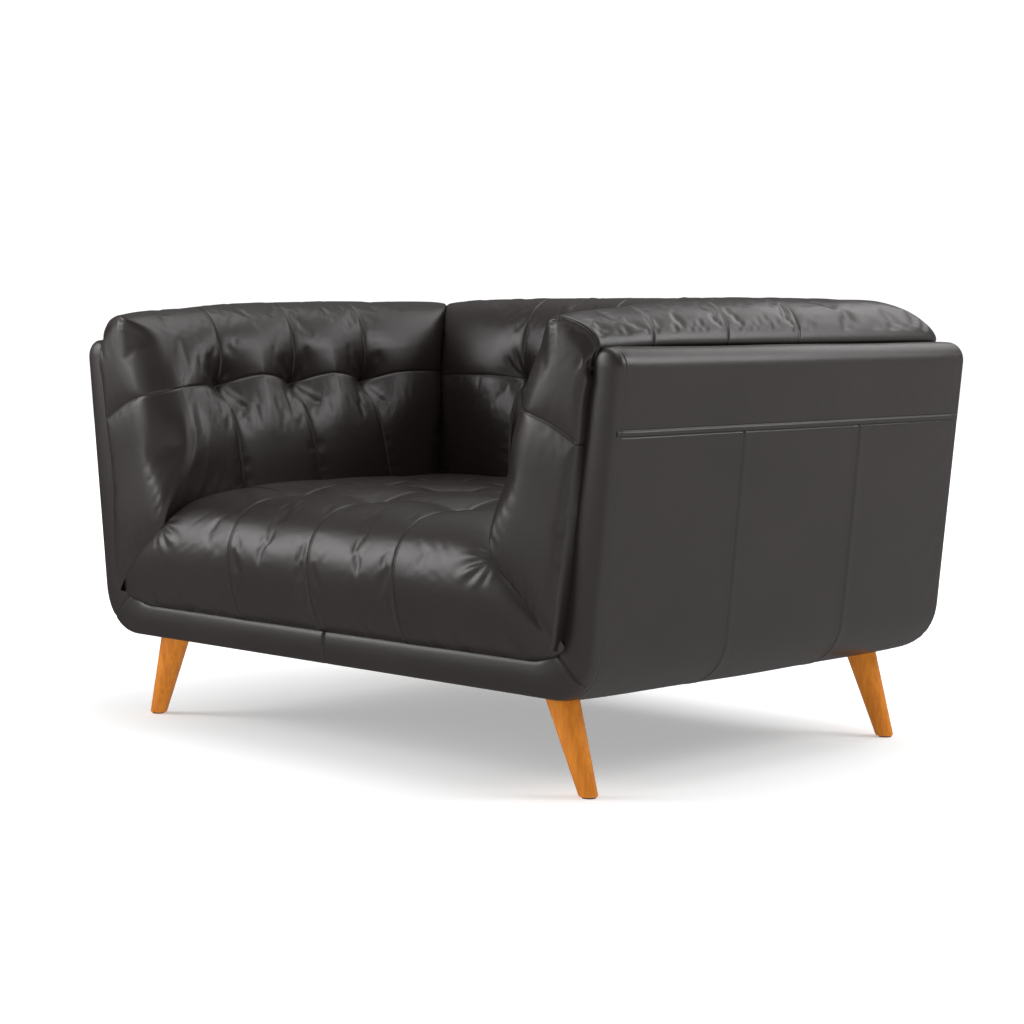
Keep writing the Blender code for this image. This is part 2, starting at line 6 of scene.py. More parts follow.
import bpy
import numpy as np
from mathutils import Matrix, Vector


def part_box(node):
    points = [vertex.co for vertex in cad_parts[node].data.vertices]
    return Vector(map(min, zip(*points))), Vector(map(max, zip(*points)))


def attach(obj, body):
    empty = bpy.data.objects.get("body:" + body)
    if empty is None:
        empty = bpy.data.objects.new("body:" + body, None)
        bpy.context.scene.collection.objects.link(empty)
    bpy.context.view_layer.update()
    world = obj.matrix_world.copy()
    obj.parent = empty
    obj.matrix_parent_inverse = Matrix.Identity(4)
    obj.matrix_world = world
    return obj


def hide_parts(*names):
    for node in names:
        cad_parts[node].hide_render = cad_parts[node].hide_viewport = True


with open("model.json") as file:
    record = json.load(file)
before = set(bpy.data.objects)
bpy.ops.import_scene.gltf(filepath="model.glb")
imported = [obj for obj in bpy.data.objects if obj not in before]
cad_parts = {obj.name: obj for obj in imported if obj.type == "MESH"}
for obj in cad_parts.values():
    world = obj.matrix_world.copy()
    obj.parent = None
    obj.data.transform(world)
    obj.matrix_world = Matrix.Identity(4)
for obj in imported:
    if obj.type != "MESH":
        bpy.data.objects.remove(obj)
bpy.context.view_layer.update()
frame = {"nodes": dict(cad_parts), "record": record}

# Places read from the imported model
SHELL_LOW, SHELL_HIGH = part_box("side_cover_right")
SHELL_FRONT_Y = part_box("front_border_arm_right")[0].y
SHELL_BACK_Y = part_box("back_border_arm_right")[1].y
BORDER_TOP_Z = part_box("front_border_base_right")[0].z + 0.058

# The shell's section: a top roll, a leaning side and a round bottom corner
SHELL_LEAN = math.radians(6.14)
ROLL_RADIUS = 0.029
CORNER_RADIUS = 0.085
ROLL_CENTRE = (SHELL_HIGH.x - ROLL_RADIUS + 0.0002, SHELL_HIGH.z - ROLL_RADIUS)
CORNER_CENTRE = (0.5055, SHELL_LOW.z + CORNER_RADIUS)
BORDER_CORNER = (0.4555, 0.272)
BORDER_CORNER_RADIUS = 0.068
BORDER_LEAN = math.radians(8.2)

SIDES = {"left": -1.0, "right": 1.0}


# ---------------------------------------------------------------- curves and grids


def spline(knots, values, at):
    """A smooth curve through values at the knots, read at the places in at."""
    knots = np.asarray(knots, float)
    values = np.asarray(values, float)
    at = np.clip(np.asarray(at, float), knots[0], knots[-1])
    slopes = np.gradient(values, knots, axis=0)
    left = np.clip(np.searchsorted(knots, at, side="right") - 1, 0, len(knots) - 2)
    span = knots[left + 1] - knots[left]
    t = (at - knots[left]) / span
    if values.ndim > 1:
        t, span = t[..., None], span[..., None]
    return ((2 * t**3 - 3 * t**2 + 1) * values[left] + (t**3 - 2 * t**2 + t) * span * slopes[left]
            + (3 * t**2 - 2 * t**3) * values[left + 1] + (t**3 - t**2) * span * slopes[left + 1])


def smoothstep(low, high, value):
    t = np.clip((np.asarray(value, float) - low) / (high - low), 0.0, 1.0)
    return t * t * (3 - 2 * t)


def rounding(t):
    """0 while t is below 0, then a quarter circle down to 1 at t = 1."""
    t = np.clip(t, 0.0, 1.0)
    return 1 - np.sqrt(1 - t * t)


def line_of(rows, table):
    """The table's rows are (row, values...); a smooth run of values for every row."""
    table = np.asarray(table, float)
    return spline(table[:, 0], table[:, 1:], rows)


class Surface:
    """Grids of points welded into one mesh, with each grid's vertex numbers kept."""

    def __init__(self):
        self.points = []
        self.known = {}
        self.faces = []
        self.grids = {}

    def add(self, name, grid, flip=False):
        rows, columns = grid.shape[:2]
        index = np.empty((rows, columns), int)
        for row in range(rows):
            for column in range(columns):
                key = tuple(np.round(grid[row, column] * 1e5).astype(int))
                if key not in self.known:
                    self.known[key] = len(self.points)
                    self.points.append(grid[row, column])
                index[row, column] = self.known[key]
        self.grids[name] = index
        for row in range(rows - 1):
            for column in range(columns - 1):
                face = [index[row, column], index[row, column + 1],
                        index[row + 1, column + 1], index[row + 1, column]]
                face = list(dict.fromkeys(face))
                if len(face) > 2:
                    self.faces.append(face[::-1] if flip else face)

    def array(self):
        return np.array(self.points, float)

    def normals(self, points):
        total = np.zeros_like(points)
        for size in (3, 4):
            faces = np.array([face for face in self.faces if len(face) == size], int)
            if not len(faces):
                continue
            diagonal_a = points[faces[:, 2]] - points[faces[:, 0]]
            diagonal_b = points[faces[:, -1]] - points[faces[:, 1]]
            if size == 3:
                diagonal_a = points[faces[:, 1]] - points[faces[:, 0]]
                diagonal_b = points[faces[:, 2]] - points[faces[:, 0]]
            normal = np.cross(diagonal_a, diagonal_b)
            for corner in range(size):
                np.add.at(total, faces[:, corner], normal)
        length = np.linalg.norm(total, axis=1, keepdims=True)
        return total / np.maximum(length, 1e-12)

    def mesh(self, name, points):
        mesh = bpy.data.meshes.new(name)
        mesh.from_pydata([tuple(point) for point in points], [], self.faces)
        mesh.shade_smooth()
        mesh.update()
        return mesh


def place(name, mesh, material):
    piece = bpy.data.objects.new(name, mesh)
    if material is not None:
        mesh.materials.append(material)
    bpy.context.scene.collection.objects.link(piece)
    return piece


def add_piece(name, mesh, material, nodes, smooth=False):
    """Puts a visible piece into the scene in place of its CAD nodes."""
    piece = place(name, mesh, material)
    if smooth:
        modifier = piece.modifiers.new("smooth", "SUBSURF")
        modifier.levels = 1
        modifier.render_levels = 1
    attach(piece, "root")
    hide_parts(*nodes)
    return piece


# ---------------------------------------------------------------- cloth


CLOTH_SETTINGS = {
    "quality": 6, "mass": 0.25, "tension_stiffness": 15.0, "compression_stiffness": 15.0,
    "shear_stiffness": 6.0, "bending_stiffness": 1.5, "tension_damping": 12.0,
    "compression_damping": 12.0, "shear_damping": 8.0, "bending_damping": 1.0, "air_damping": 3.0,
    "vertex_group_mass": "pins", "pin_stiffness": 1.0, "use_pressure": True,
    "uniform_pressure_force": 3.0,
}
CLOTH_FRAMES = 20
CLOTH_REACH = 0.005


def relax(surface, points, pins, growth):
    """The points after the leather is inflated as cloth, held at its pins and kept within reach."""
    scene = bpy.context.scene
    cloth = place("cloth_run", surface.mesh("cloth_run", points), None)
    group = cloth.vertex_groups.new(name="pins")
    weights = np.round(pins, 2)
    for weight in np.unique(weights[weights > 0]):
        chosen = np.nonzero(weights == weight)[0]
        group.add([int(number) for number in chosen], float(weight), "REPLACE")
    modifier = cloth.modifiers.new("Cloth", "CLOTH")
    for key, value in CLOTH_SETTINGS.items():
        setattr(modifier.settings, key, value)
    modifier.settings.shrink_min = -growth
    modifier.settings.effector_weights.gravity = 0.0
    modifier.collision_settings.use_collision = False
    modifier.collision_settings.use_self_collision = False
    modifier.point_cache.frame_start = 1
    modifier.point_cache.frame_end = CLOTH_FRAMES
    scene.frame_start = 1
    scene.frame_end = CLOTH_FRAMES
    for number in range(1, CLOTH_FRAMES + 1):
        scene.frame_set(number)
    evaluated = cloth.evaluated_get(bpy.context.evaluated_depsgraph_get())
    moved = np.empty(len(points) * 3)
    evaluated.data.vertices.foreach_get("co", moved)
    scene.frame_set(1)
    bpy.data.objects.remove(cloth, do_unlink=True)
    shift = moved.reshape(-1, 3) - points
    length = np.linalg.norm(shift, axis=1, keepdims=True)
    limited = CLOTH_REACH * np.tanh(length / CLOTH_REACH)
    return points + shift * limited / np.maximum(length, 1e-9)


# ---------------------------------------------------------------- tufting


def distances_to(points, targets):
    """How far each point is from the nearest of the targets."""
    nearest = np.full(len(points), 1e9)
    for target in targets:
        nearest = np.minimum(nearest, np.linalg.norm(points - target, axis=1))
    return nearest


def grid_distance(grid, lines, axis):
    """For each grid point, how far it is from the nearest chosen column (axis 1) or row (axis 0)."""
    nearest = np.full(grid.shape[:2], 1e9)
    for line in lines:
        target = grid[:, line:line + 1] if axis == 1 else grid[line:line + 1]
        nearest = np.minimum(nearest, np.linalg.norm(grid - target, axis=2))
    return nearest


SEAM_OFFSET = 0.15


def grid_lines(count, per_step, seams):
    """Places of the grid lines 0..count-1 with per_step lines to a step, and closer ones by each seam."""
    lines = set(round(number / per_step, 4) for number in range((count - 1) * per_step + 1))
    for seam in seams:
        lines |= {round(seam + offset, 4) for offset in (-SEAM_OFFSET, SEAM_OFFSET)}
    return np.array(sorted(line for line in lines if 0 <= line <= count - 1))


def resample(grid, rows, columns):
    """The grid read smoothly at fractional rows and columns."""
    grid = spline(np.arange(grid.shape[0]), grid.reshape(grid.shape[0], -1), rows)
    grid = grid.reshape(len(rows), -1, 3).transpose(1, 0, 2)
    grid = spline(np.arange(grid.shape[0]), grid.reshape(grid.shape[0], -1), columns)
    return grid.reshape(len(columns), len(rows), 3).transpose(1, 0, 2)


def folds(points, centre, across, up, creases):
    """How far creases that fan out of one point sink: (degrees, length, depth) from across towards up."""
    centre, across, up = (np.asarray(vector, float) for vector in (centre, across, up))
    u, v = (points - centre) @ across, (points - centre) @ up
    off_plane = np.abs((points - centre) @ np.cross(across, up))
    total = np.zeros(len(points))
    for degrees, length, depth in creases:
        angle = math.radians(degrees)
        along = u * math.cos(angle) + v * math.sin(angle)
        aside = np.abs(v * math.cos(angle) - u * math.sin(angle))
        width = 0.0022 + 0.07 * np.maximum(along, 0)
        shape = np.exp(-(aside / width) ** 2) - 0.55 * np.exp(-((aside - 2.1 * width) / width) ** 2)
        reach = smoothstep(0.004, 0.014, along) * (1 - smoothstep(0.35 * length, length, along))
        total += depth * shape * reach
    return total * (off_plane < 0.05)


def columns_between(knots, counts):
    """(cell, share of the cell, place) for each column, with counts[cell] columns to a cell."""
    for cell, count in enumerate(counts):
        for step in range(count + (cell == len(counts) - 1)):
            share = step / count
            yield cell, share, knots[cell] * (1 - share) + knots[cell + 1] * share


# ---------------------------------------------------------------- arm cushion

# Rows run from the tuck behind the shell's top roll, over the crest and down to the seat.
CREST_ROW = 18
TUFT_ROW = 36
LAST_ROW = 64
ARM_COLUMNS = (14, 20, 20, 22)

# (row, x, z) of the arm's section in the middle of its length and at its front end
ARM_SECTION = (
    (0, 0.5745, 0.628), (3, 0.583, 0.648), (5, 0.593, 0.658), (7, 0.59, 0.672),
    (10, 0.5755, 0.69), (14, 0.548, 0.709), (18, 0.515, 0.718), (21, 0.493, 0.712),
    (24, 0.475, 0.696), (27, 0.46, 0.672), (31, 0.447, 0.638), (36, 0.435, 0.58),
    (42, 0.418, 0.53), (50, 0.405, 0.46), (58, 0.398, 0.395), (64, 0.394, 0.3455),
)
ARM_FRONT_SECTION = (
    (0, 0.585, 0.63), (3, 0.5875, 0.642), (5, 0.59, 0.653), (7, 0.586, 0.666),
    (10, 0.572, 0.68), (14, 0.548, 0.691), (18, 0.5215, 0.6955), (21, 0.5, 0.686),
    (24, 0.479, 0.668), (27, 0.4565, 0.646), (31, 0.4305, 0.612), (36, 0.405, 0.57),
    (42, 0.3855, 0.521), (50, 0.3775, 0.456), (58, 0.384, 0.39), (64, 0.397, 0.344),
)
# (row, y) of the three seams across the arm
ARM_SEAMS = (
    ((5, -0.2805), (18, -0.2525), (36, -0.2465), (64, -0.2325)),
    ((5, -0.1175), (18, -0.0825), (36, -0.0815), (64, -0.0525)),
    ((5, 0.05), (18, 0.0875), (36, 0.0865), (64, 0.1125)),
)
# (row, x, y, z) of the corner seam where an arm meets the back
CORNER_SEAM = (
    (0, 0.574, 0.405, 0.63), (5, 0.582, 0.42, 0.658), (10, 0.567, 0.405, 0.685),
    (14, 0.543, 0.383, 0.7035), (18, 0.508, 0.351, 0.715), (21, 0.488, 0.331, 0.708),
    (24, 0.471, 0.313, 0.692), (27, 0.459, 0.3005, 0.668), (31, 0.448, 0.2885, 0.634),
    (36, 0.436, 0.275, 0.585), (42, 0.4225, 0.2605, 0.535), (50, 0.4085, 0.2425, 0.465),
    (58, 0.4, 0.2295, 0.395), (64, 0.394, 0.222, 0.3455),
)
# The height of the crest along the arm, as (y, z)
CREST_LINE = ((-0.406, 0.696), (-0.378, 0.7015), (-0.325, 0.706), (-0.275, 0.7085),
              (-0.23, 0.7125), (-0.16, 0.7165), (-0.08, 0.719), (0.0, 0.721), (0.09, 0.722),
              (0.36, 0.7225))
SEAM_ARC = 0.012
ARM_FLARE_Y = (-0.47, -0.215)
ARM_FACE_Y = SHELL_FRONT_Y - 0.0135
FRONT_SWELL = 0.008
ARM_ROLL_RADIUS = 0.057


def arm_face_y(down):
    """Where the flat of the front panel lies, by the share of the way down it."""
    return ARM_FACE_Y - FRONT_SWELL * smoothstep(0.55, 1.0, down)


def arm_roll_radius(down):
    """The radius of the roll from the front panel onto the inner face."""
    return ARM_ROLL_RADIUS * smoothstep(0, 0.22, down) * (1 - 0.88 * smoothstep(0.6, 0.98, down))


def corner_bend(share):
    """How far a cushion's last cell has turned into the corner seam."""
    return rounding((share - 0.45) / 0.55)


def arm_main_grid():
    """The arm's top and inner face: rows over the section, columns from the front to the back."""
    rows = np.arange(LAST_ROW + 1)
    middle = line_of(rows, ARM_SECTION)
    front = line_of(rows, ARM_FRONT_SECTION)
    corner = line_of(rows, CORNER_SEAM)
    down = np.clip((rows - CREST_ROW) / (LAST_ROW - CREST_ROW), 0, 1)
    set_back = 0.003 * (1 - smoothstep(0, 0.1, down)) + 0.012 * (1 - smoothstep(5, 16, rows))
    knots = [arm_face_y(down) + arm_roll_radius(down) + set_back]
    knots += [line_of(rows, seam)[:, 0] for seam in ARM_SEAMS]
    knots.append(corner[:, 1])
    crest = smoothstep(5, CREST_ROW, rows) * (1 - smoothstep(CREST_ROW, TUFT_ROW, rows))
    by_seam = np.exp(-((rows - TUFT_ROW) / 9.0) ** 2)
    columns = []
    for cell, share, y in columns_between(knots, ARM_COLUMNS):
        last = cell == len(ARM_COLUMNS) - 1
        section = front + (middle - front) * smoothstep(*ARM_FLARE_Y, y)[:, None]
        rise = (spline(*zip(*CREST_LINE), y) - section[CREST_ROW, 1]) * crest
        if cell:
            rise = rise + SEAM_ARC * math.sin(math.pi * min(share, 0.5 if last else 1)) * by_seam
        point = np.stack([section[:, 0], y, section[:, 1] + rise], axis=1)
        if last:
            bend = corner_bend(share)
            point += (corner - point) * np.array([bend, share**3, bend])
        columns.append(point)
    return np.stack(columns, axis=1)


# (share of the way down, x, z) of the arm's front panel where it meets the border
ARM_BORDER_LINE = ((0.0, 0.598, 0.651), (0.08, 0.586, 0.618), (0.39, 0.568, 0.518),
                   (0.62, 0.554, 0.415), (0.86, 0.5395, 0.305), (0.95, 0.531, 0.252),
                   (1.0, 0.522, 0.219))
# (share of the way from the border, x, z) of the seam between the arm's front and the seat
MITRE_LINE = ((0.0, 0.522, 0.219), (0.145, 0.5075, 0.2415), (0.282, 0.4905, 0.262),
              (0.429, 0.4735, 0.281), (0.599, 0.452, 0.301), (0.784, 0.4275, 0.321),
              (1.0, 0.397, 0.344))
ARM_TUCK_WIDTH = 0.008
MITRE_DEPTH = 0.002


def arm_front_grid(main):
    """The arm's front panel: columns from the border to the soft roll onto the inner face."""
    count = CREST_ROW
    lower = main[CREST_ROW:, 0]
    down = np.linspace(0, 1, len(lower))
    top = main[:CREST_ROW + 1, 0]
    right = line_of(down, ARM_BORDER_LINE)
    right += (top[0, [0, 2]] - right[0]) * (1 - smoothstep(0, 0.12, down))[:, None]
    left = lower[:, [0, 2]]
    top_table = [(number, *point) for number, point in enumerate(top)]
    even = np.linspace(0, 1, count + 1)
    grid = np.empty((len(lower), count + 1, 3))
    for row, t in enumerate(down):
        width = max(np.linalg.norm(left[row] - right[row]), 1e-4)
        radius = float(arm_roll_radius(t))
        face_y = float(arm_face_y(t)) + MITRE_DEPTH * float(smoothstep(0.95, 1.0, t))
        flat = width - radius
        length = flat + radius * math.pi / 2
        near_top = 1 - float(smoothstep(0, 6, row))
        along = even**1.3 * length
        angle = np.maximum(along - flat, 0) / max(radius, 1e-6)
        s = (np.minimum(along, flat) + radius * np.sin(angle)) / width
        s = s + (even - s) * near_top
        even_share = along / length
        spots = []
        for axis, share in ((0, s), (1, even_share + (even - even_share) * near_top)):
            above = line_of(share * count, top_table)[:, 2 * axis]
            below = line_of(share, MITRE_LINE)[:, axis]
            spot = (1 - share) * right[row, axis] + share * left[row, axis]
            spot += (1 - t)**2 * (above - (1 - share) * right[0, axis] - share * left[0, axis])
            spot += t**2 * (below - (1 - share) * right[-1, axis] - share * left[-1, axis])
            spots.append(spot)
        y = face_y + radius * (1 - np.cos(angle))
        tuck = rounding(1 - along / ARM_TUCK_WIDTH) * min(1, row / 4)
        y += (SHELL_FRONT_Y + 0.004 - y) * tuck
        y += (line_of(s * count, top_table)[:, 1] - y) * near_top**2
        grid[row] = np.stack([spots[0], y, spots[1]], axis=1)
    grid[:, -1] = lower
    grid[0] = top
    return grid


# ---------------------------------------------------------------- back cushion

# (row, y, z) of the back cushion's section
BACK_SECTION = (
    (0, 0.4215, 0.63), (3, 0.4235, 0.647), (5, 0.4265, 0.658), (7, 0.425, 0.671),
    (10, 0.413, 0.691), (14, 0.388, 0.711), (18, 0.349, 0.7245), (21, 0.319, 0.7245),
    (24, 0.294, 0.713), (27, 0.275, 0.692), (31, 0.257, 0.652), (36, 0.238, 0.587),
    (42, 0.229, 0.535), (50, 0.222, 0.465), (58, 0.2185, 0.395), (64, 0.2175, 0.3455),
)
BACK_SEAMS = (-0.2, 0.0, 0.2)
BACK_COLUMNS = (32, 25, 25, 32)


def back_grid():
    rows = np.arange(LAST_ROW + 1)
    section = line_of(rows, BACK_SECTION)
    corner = line_of(rows, CORNER_SEAM)
    knots = [-corner[:, 0]] + [np.full(len(rows), x) for x in BACK_SEAMS] + [corner[:, 0]]
    columns = []
    for cell, share, x in columns_between(knots, BACK_COLUMNS):
        point = np.stack([x, section[:, 0], section[:, 1]], axis=1)
        outwards = {0: 1 - share, len(BACK_COLUMNS) - 1: share}.get(cell)
        if outwards is not None:
            point[:, 1:] += (corner[:, 1:] - point[:, 1:]) * corner_bend(outwards)
        columns.append(point)
    return np.stack(columns, axis=1)


# ---------------------------------------------------------------- seat cushion

# (row, y, z, half width) from the tuck behind the border, over the front roll, to the rear
SEAT_SECTION = (
    (0, -0.376, 0.196, 0.48), (3, -0.393, 0.2, 0.518), (5, -0.406, 0.211, 0.53),
    (8, -0.4175, 0.237, 0.523), (12, -0.425, 0.271, 0.49), (16, -0.4265, 0.305, 0.454),
    (20, -0.42, 0.337, 0.42), (24, -0.404, 0.364, 0.401), (28, -0.377, 0.384, 0.397),
    (33, -0.34, 0.396, 0.396), (41, -0.2825, 0.404, 0.396), (62, -0.1125, 0.408, 0.396),
    (83, 0.0575, 0.405, 0.396), (104, 0.225, 0.395, 0.396), (108, 0.252, 0.384, 0.396),
)
SEAT_ROWS = 108
SEAT_TUFT_ROWS = (41, 62, 83)
SEAT_COLUMNS = (24, 25, 25, 24)


def seat_grid():
    rows = np.arange(SEAT_ROWS + 1)
    section = line_of(rows, SEAT_SECTION)
    path = section[:, :2]
    along = np.gradient(path, axis=0)
    along /= np.linalg.norm(along, axis=1, keepdims=True)
    inwards = np.stack([along[:, 1], -along[:, 0]], axis=1)
    half = section[:, 2]
    knots = [-half] + [np.full(len(rows), x) for x in BACK_SEAMS] + [half]
    drop = 0.017 + 0.008 * smoothstep(22, 40, rows)
    edge = 0.08 + 0.03 * smoothstep(22, 40, rows)
    columns = []
    for _, _, x in columns_between(knots, SEAT_COLUMNS):
        sink = drop * rounding((np.abs(x) - (half - edge)) / edge)
        point = path + inwards * sink[:, None]
        columns.append(np.stack([x, point[:, 0], point[:, 1]], axis=1))
    return np.stack(columns, axis=1)


# ---------------------------------------------------------------- padded pieces


def groove(distance, depth, width):
    """A sewn seam's shape: a narrow valley with a faint swelling beside it."""
    return depth * np.exp(-(distance / width) ** 2) - 0.18 * depth * np.exp(
        -((distance - 2.6 * width) / (1.6 * width)) ** 2)


def add_padded(name, mesh, nodes):
    piece = add_piece(name, mesh, LEATHER, nodes)


TUFT_SPREAD = 0.06
SEAM_PIN = 0.6


def tuft_hollows(to_tuft, seam, row, deep, seam_depth):
    """How far the leather sinks at its tufts and along the seams between them."""
    near_row = np.exp(-(row / 0.07) ** 2)
    near_tuft = np.exp(-(to_tuft / TUFT_SPREAD) ** 2)
    depth = deep * np.exp(-to_tuft / 0.026)
    depth += seam_depth * np.exp(-seam / 0.014) * (0.12 + 0.88 * near_row)
    depth += seam_depth * np.exp(-row / 0.016) * (0.25 + 0.75 * near_tuft)
    return depth


def cloth_pins(held, to_tuft, seam, row):
    """The pin weight of each vertex: full at held edges and tufts, part along the seams."""
    pins = np.maximum(held, (to_tuft < 0.008) * 1.0)
    pins = np.maximum(pins, (seam < 1e-6) * SEAM_PIN)
    return np.maximum(pins, (row < 1e-6) * SEAM_PIN)


def gather(surface, fields):
    """One value for each vertex from a value for each point of each grid."""
    total = np.zeros(len(surface.points))
    for name, field in fields.items():
        total[surface.grids[name].ravel()] = field.ravel()
    return total


def gather_most(surface, fields):
    total = np.zeros(len(surface.points))
    for name, field in fields.items():
        np.maximum.at(total, surface.grids[name].ravel(), field.ravel())
    return total


def mirror(grid, side):
    return grid * np.array([side, 1.0, 1.0])


ARM_SEAM_COLUMNS = tuple(np.cumsum(ARM_COLUMNS)[:3])
BACK_SEAM_COLUMNS = tuple(np.cumsum(BACK_COLUMNS)[:3])
SEAT_SEAM_COLUMNS = tuple(np.cumsum(SEAT_COLUMNS)[:3])


# Creases by each tuft of the arms and the back: (degrees, length, depth)
TUFT_CREASES = (
    ((118, 0.06, 0.0016), (136, 0.075, 0.002), (156, 0.055, 0.0014), (-38, 0.07, 0.0016),
     (-62, 0.05, 0.0013), (28, 0.035, 0.001)),
    ((104, 0.045, 0.0014), (128, 0.08, 0.0021), (149, 0.06, 0.0016), (-30, 0.085, 0.0018),
     (-52, 0.06, 0.0015), (-140, 0.04, 0.001)),
    ((112, 0.07, 0.0018), (141, 0.06, 0.0017), (162, 0.045, 0.0012), (-44, 0.08, 0.0019),
     (-70, 0.045, 0.0012), (40, 0.035, 0.001)),
)
TUFT_DEPTH = 0.02
SEAM_DEPTH = 0.004
ARM_PILLOW = 0.007
SEAM_GROOVE = (0.0017, 0.0013)
EDGE_GROOVE = (0.003, 0.0018)
CLOTH_GROWTH = 0.004
ARM_CORNER_CREASES = ((-98, 0.06, 0.001), (-124, 0.045, 0.0008))


def make_arm(side_name, side):
    main = arm_main_grid()
    front = arm_front_grid(main)
    main, front = mirror(main, side), mirror(front, side)
    flip = side < 0
    surface = Surface()
    surface.add("main", main, flip)
    surface.add("front", front, flip)
    points = surface.array()
    tufts = [main[TUFT_ROW, column] for column in ARM_SEAM_COLUMNS]
    cross_row = TUFT_ROW - CREST_ROW

    to_tuft = distances_to(points, tufts)
    far = np.ones(front.shape[:2])
    seam = gather(surface, {"front": far, "main": grid_distance(main, ARM_SEAM_COLUMNS, 1)})
    row = gather(surface, {"front": grid_distance(front, [cross_row], 0),
                           "main": grid_distance(main, [TUFT_ROW], 0)})
    inner = smoothstep(-0.37, -0.27, points[:, 1])
    depth = tuft_hollows(to_tuft, seam, row, TUFT_DEPTH, SEAM_DEPTH)
    pillow = ARM_PILLOW * (1 - np.exp(-(to_tuft / TUFT_SPREAD) ** 2))
    depth -= pillow * inner * np.exp(-(row / 0.12) ** 2)
    held = gather_most(surface, {"main": held_edges(main, 8, 2, CREST_ROW + 1),
                                 "front": held_edges(front, 1, 1, 0)})
    fade = gather_most(surface, {"main": edge_fade(main, 6), "front": edge_fade(front, 3)})
    points = points - surface.normals(points) * (depth * (1 - fade))[:, None]
    points = relax(surface, points, cloth_pins(held, to_tuft, seam, row), CLOTH_GROWTH)

    main_rows = grid_lines(LAST_ROW + 1, 3, (CREST_ROW, TUFT_ROW))
    main_columns = grid_lines(main.shape[1], 3, (0, *ARM_SEAM_COLUMNS))
    front_rows = main_rows[main_rows >= CREST_ROW] - CREST_ROW
    front_columns = main_rows[main_rows <= CREST_ROW]
    main = resample(points[surface.grids["main"]], main_rows, main_columns)
    front = resample(points[surface.grids["front"]], front_rows, front_columns)
    crest_line = line_at(main_rows, CREST_ROW)
    front[0] = main[:crest_line + 1, 0]
    front[:, -1] = main[crest_line:, 0]
    fine = Surface()
    fine.add("main", main, flip)
    fine.add("front", front, flip)
    points = fine.array()
    column_lines = [line_at(main_columns, column) for column in ARM_SEAM_COLUMNS]
    tuft_line = line_at(main_rows, TUFT_ROW)
    seam = gather(fine, {"front": np.ones(front.shape[:2]),
                         "main": grid_distance(main, column_lines, 1)})
    row = gather(fine, {"front": grid_distance(front, [line_at(front_rows, cross_row)], 0),
                        "main": grid_distance(main, [tuft_line], 0)})
    to_edge = distances_to(points, main[:crest_line + 1, 0])
    sunk = groove(np.minimum(seam, row), *SEAM_GROOVE) + groove(to_edge, *EDGE_GROOVE)
    for number, column in enumerate(column_lines):
        sunk += folds(points, main[tuft_line, column], (0, 1, 0), (-0.3 * side, 0, 0.954),
                      TUFT_CREASES[number])
    sunk += folds(points, main[crest_line, 0], (side, 0, 0), (0, 0, 1), ARM_CORNER_CREASES)
    points = points - fine.normals(points) * sunk[:, None]
    name = f"arm_cushion_{side_name}"
    nodes = (f"arm_cover_{side_name}", f"arm_foam_{side_name}")
    add_padded(name, fine.mesh(name, points), nodes)


def line_at(lines, place_on_grid):
    return int(np.argmin(np.abs(lines - place_on_grid)))


def held_edges(grid, first_rows, last_rows, corner_rows):
    """Pin weights: the first and last rows, the last column, and part of the first column."""
    held = np.zeros(grid.shape[:2])
    held[:first_rows] = 1
    held[-last_rows:] = 1
    held[:, -1] = 1
    held[:, 0] = 1 if corner_rows == 0 else 0
    held[:corner_rows, 0] = 1
    return held


def edge_fade(grid, width):
    """1 on a grid's outline, falling to 0 over this many lines."""
    rows, columns = grid.shape[:2]
    row = np.minimum(np.arange(rows), np.arange(rows)[::-1])
    column = np.minimum(np.arange(columns), np.arange(columns)[::-1])
    nearest = np.minimum(row[:, None], column[None, :])
    return 1 - smoothstep(0, width, nearest)


def make_panelled(name, grid, seam_columns, tuft_rows, looks):
    """A single-grid cushion with seams along rows and columns, tufted where they cross."""
    surface = Surface()
    surface.add("main", grid, looks["flip"])
    points = surface.array()
    tufts = [grid[row, column] for row in tuft_rows for column in seam_columns]
    to_tuft = distances_to(points, tufts)
    seam = gather(surface, {"main": grid_distance(grid, seam_columns, 1)})
    row = gather(surface, {"main": grid_distance(grid, tuft_rows, 0)})
    depth = tuft_hollows(to_tuft, seam, row, looks["deep"], looks["seam"])
    pillow = looks["pillow"] * (1 - np.exp(-(to_tuft / TUFT_SPREAD) ** 2))
    depth -= pillow * np.exp(-(to_tuft / 0.16) ** 2)
    fade = gather(surface, {"main": edge_fade(grid, 5)})
    points = points - surface.normals(points) * (depth * (1 - fade))[:, None]
    held = np.zeros(grid.shape[:2])
    held[:looks["held"]] = 1
    held[-2:] = 1
    held[:, [0, -1]] = 1
    pins = cloth_pins(gather(surface, {"main": held}), to_tuft, seam, row)
    points = relax(surface, points, pins, looks["growth"])

    rows = grid_lines(grid.shape[0], looks["lines"], tuft_rows)
    columns = grid_lines(grid.shape[1], looks["lines"], seam_columns)
    fine_grid = resample(points[surface.grids["main"]], rows, columns)
    fine = Surface()
    fine.add("main", fine_grid, looks["flip"])
    points = fine.array()
    column_lines = [line_at(columns, column) for column in seam_columns]
    row_lines = [line_at(rows, row) for row in tuft_rows]
    seam = gather(fine, {"main": grid_distance(fine_grid, column_lines, 1)})
    row = gather(fine, {"main": grid_distance(fine_grid, row_lines, 0)})
    sunk = groove(np.minimum(seam, row), looks["groove"], SEAM_GROOVE[1])
    for centre, across, up, creases in looks["creases"](fine_grid, row_lines, column_lines):
        sunk += folds(points, centre, across, up, creases)
    points = points - fine.normals(points) * sunk[:, None]
    add_padded(name, fine.mesh(name, points), looks["nodes"])


